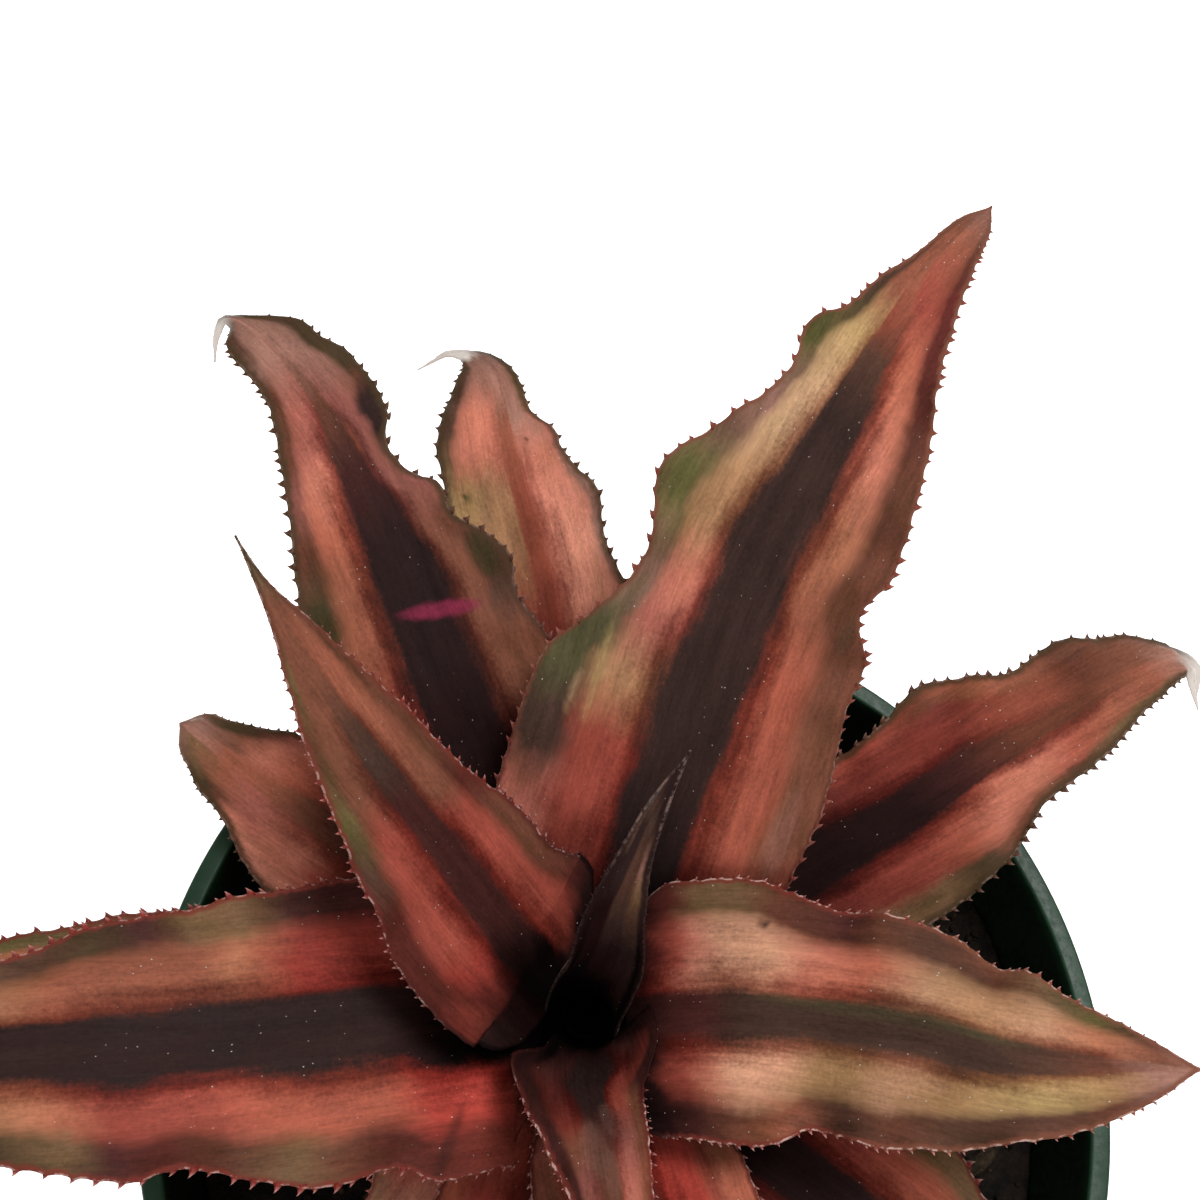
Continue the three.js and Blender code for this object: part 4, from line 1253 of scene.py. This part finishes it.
def soil_bed(build):
    """A lumpy disc on top of the block of mix."""
    rings = SOIL["rings"]
    segments = SOIL["segments"]
    radii = SOIL["radius"] * np.linspace(0, 1, rings + 1)[1:, None]
    x = radii * np.cos(circle(segments))
    y = radii * np.sin(circle(segments))
    top = np.stack([x, y, np.vectorize(soil_height)(x, y)], -1).reshape(-1, 3)
    low = SOIL["level"] - SOIL["depth"]
    skirt = np.stack([x[-1], y[-1], np.full(segments, low)], -1)
    count = rings * segments
    last = count - segments
    centre = [(0, 0, soil_height(0, 0)), (0, 0, low)]
    faces = grid_faces(rings, segments, wrap=True, flip=True)
    for j in range(segments):
        k = (j + 1) % segments
        faces.append((count + segments, j, k))
        faces.append((last + k, last + j, count + j, count + k))
        faces.append((count + k, count + j, count + segments + 1))
    build.add(np.concatenate([top, skirt, centre]), faces)


def ball(detail):
    """The vertices and faces of a round lump."""
    mesh = bpy.data.meshes.new("lump")
    shape = bmesh.new()
    bmesh.ops.create_icosphere(shape, subdivisions=detail, radius=1)
    shape.to_mesh(mesh)
    shape.free()
    places = np.array([v.co for v in mesh.vertices])
    faces = [tuple(f.vertices) for f in mesh.polygons]
    bpy.data.meshes.remove(mesh)
    return places, faces


def turn_matrix(random, tilt):
    """A random turn. A small tilt keeps flat things nearly flat."""
    spin = Matrix.Rotation(random.uniform(0, 2 * np.pi), 3, "Z")
    tip = Matrix.Rotation(tilt * random.uniform(-1.2, 1.2), 3, "X")
    roll = Matrix.Rotation(tilt * random.uniform(-1.2, 1.2), 3, "Y")
    return np.array(spin @ tip @ roll)


def lump(build, random, template, place, sizes, slot, broken, tilt):
    """A crumb of roughly these three sizes, half sunk at place."""
    points, faces = template
    shift = random.uniform(0, 50, 3)
    swell = np.array([noise.noise(Vector(p * 1.7 + shift)) for p in points])
    shaped = points * (1 + broken * swell[:, None]) * (np.array(sizes) / 2)
    build.add(shaped @ turn_matrix(random, tilt).T + place, faces, slot)


def soil_object():
    random = np.random.default_rng(SOIL["seed"])
    build = Build()
    soil_bed(build)
    templates = [ball(detail) for detail in (1, 2, 3)]
    for count, detail, (low, high), shares, slots, raised, broken, tilt in LITTER:
        radius = (SOIL["radius"] - SOIL["clear"]) * np.sqrt(random.uniform(0, 1, count))
        angle = random.uniform(0, 2 * np.pi, count)
        for x, y in zip(radius * np.cos(angle), radius * np.sin(angle)):
            size = random.uniform(low, high)
            sizes = size * np.array([random.uniform(*share) for share in shares] or [1, 1, 1])
            place = (x, y, soil_height(x, y) + raised * size)
            lump(build, random, templates[detail - 1], place, sizes, random.choice(slots), broken, tilt)
    for x, y, length, width, height, slot, tilt in CHIPS:
        place = (x, y, soil_height(x, y) + CHIP_RAISED * height)
        lump(build, random, templates[-1], place, (length, width, height), slot, CHIP_BROKEN, tilt)
    materials = [crumb_material(name, *look) for name, look in MIX.items()]
    thing = build.object("potting_mix_crumbs", materials)
    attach(thing, "root")
    return materials[0]


# ---------------------------------------------------------------- stage

FLOOR = {"half": 3000, "thickness": 5}

# Round studio lamps that face the leaves: where they stand, their width in millimetres and power in watts.
LAMPS = {
    "key": ((300, 250, 900), 420, 5.5),
    "fill": ((-350, -650, 560), 500, 2.4),
}
LAMPS_AIM = (0, 0, 90)
SKY = 0.42

CAMERA = {
    "place": (-17.7, -25.9, 238.2),
    "right": (0.9962, 0.0, 0.0876),
    "forward": (0.0772, 0.4728, -0.8778),
    "lens": 39,
    "sensor": 36,
    "clip": (0.01, 20),  # in metres
}


def floor_object():
    build = Build()
    half = FLOOR["half"]
    corners = [(-half, -half), (half, -half), (half, half), (-half, half)]
    places = [(x, y, z) for z in (-FLOOR["thickness"], 0) for x, y in corners]
    faces = [(3, 2, 1, 0), (4, 5, 6, 7)]
    faces += [(i, (i + 1) % 4, (i + 1) % 4 + 4, i + 4) for i in range(4)]
    build.add(places, faces)
    floor = build.object("floor", [floor_material()])
    floor.data.shade_flat()


def studio():
    world = bpy.data.worlds.new("studio")
    world.use_nodes = True
    sky = world.node_tree.nodes["Background"]
    sky.inputs["Color"].default_value = (1, 1, 1, 1)
    sky.inputs["Strength"].default_value = SKY
    scene = bpy.context.scene
    scene.world = world
    scene.view_settings.view_transform = "Standard"
    for name, (place, width, power) in LAMPS.items():
        data = bpy.data.lights.new(name, "AREA")
        data.shape = "DISK"
        data.size = width * MM
        data.energy = power
        lamp = in_scene(name, data)
        lamp.location = Vector(place) * MM
        lamp.rotation_euler = (Vector(LAMPS_AIM) - Vector(place)).to_track_quat("-Z", "Y").to_euler()


def camera():
    data = bpy.data.cameras.new("camera")
    data.lens = CAMERA["lens"]
    data.sensor_width = CAMERA["sensor"]
    data.clip_start, data.clip_end = CAMERA["clip"]
    right = Vector(CAMERA["right"]).normalized()
    back = -Vector(CAMERA["forward"]).normalized()
    up = back.cross(right).normalized()
    thing = in_scene("camera", data)
    turn = Matrix((right, up, back)).transposed()
    thing.matrix_world = Matrix.LocRotScale(Vector(CAMERA["place"]) * MM, turn, None)
    bpy.context.scene.camera = thing


# ---------------------------------------------------------------- the part


def main():
    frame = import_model()
    leaf_materials = [leaf_material(), spine_material()]
    for number, name in enumerate(LEAVES, 1):
        leaf_object(name, number, leaf_materials)
    pot_object()
    peat = soil_object()
    for name, material in (("soil", peat), ("stem", stem_material())):
        node = frame["nodes"][name]
        node.data.materials.clear()
        node.data.materials.append(material)
    floor_object()
    studio()
    camera()


main()
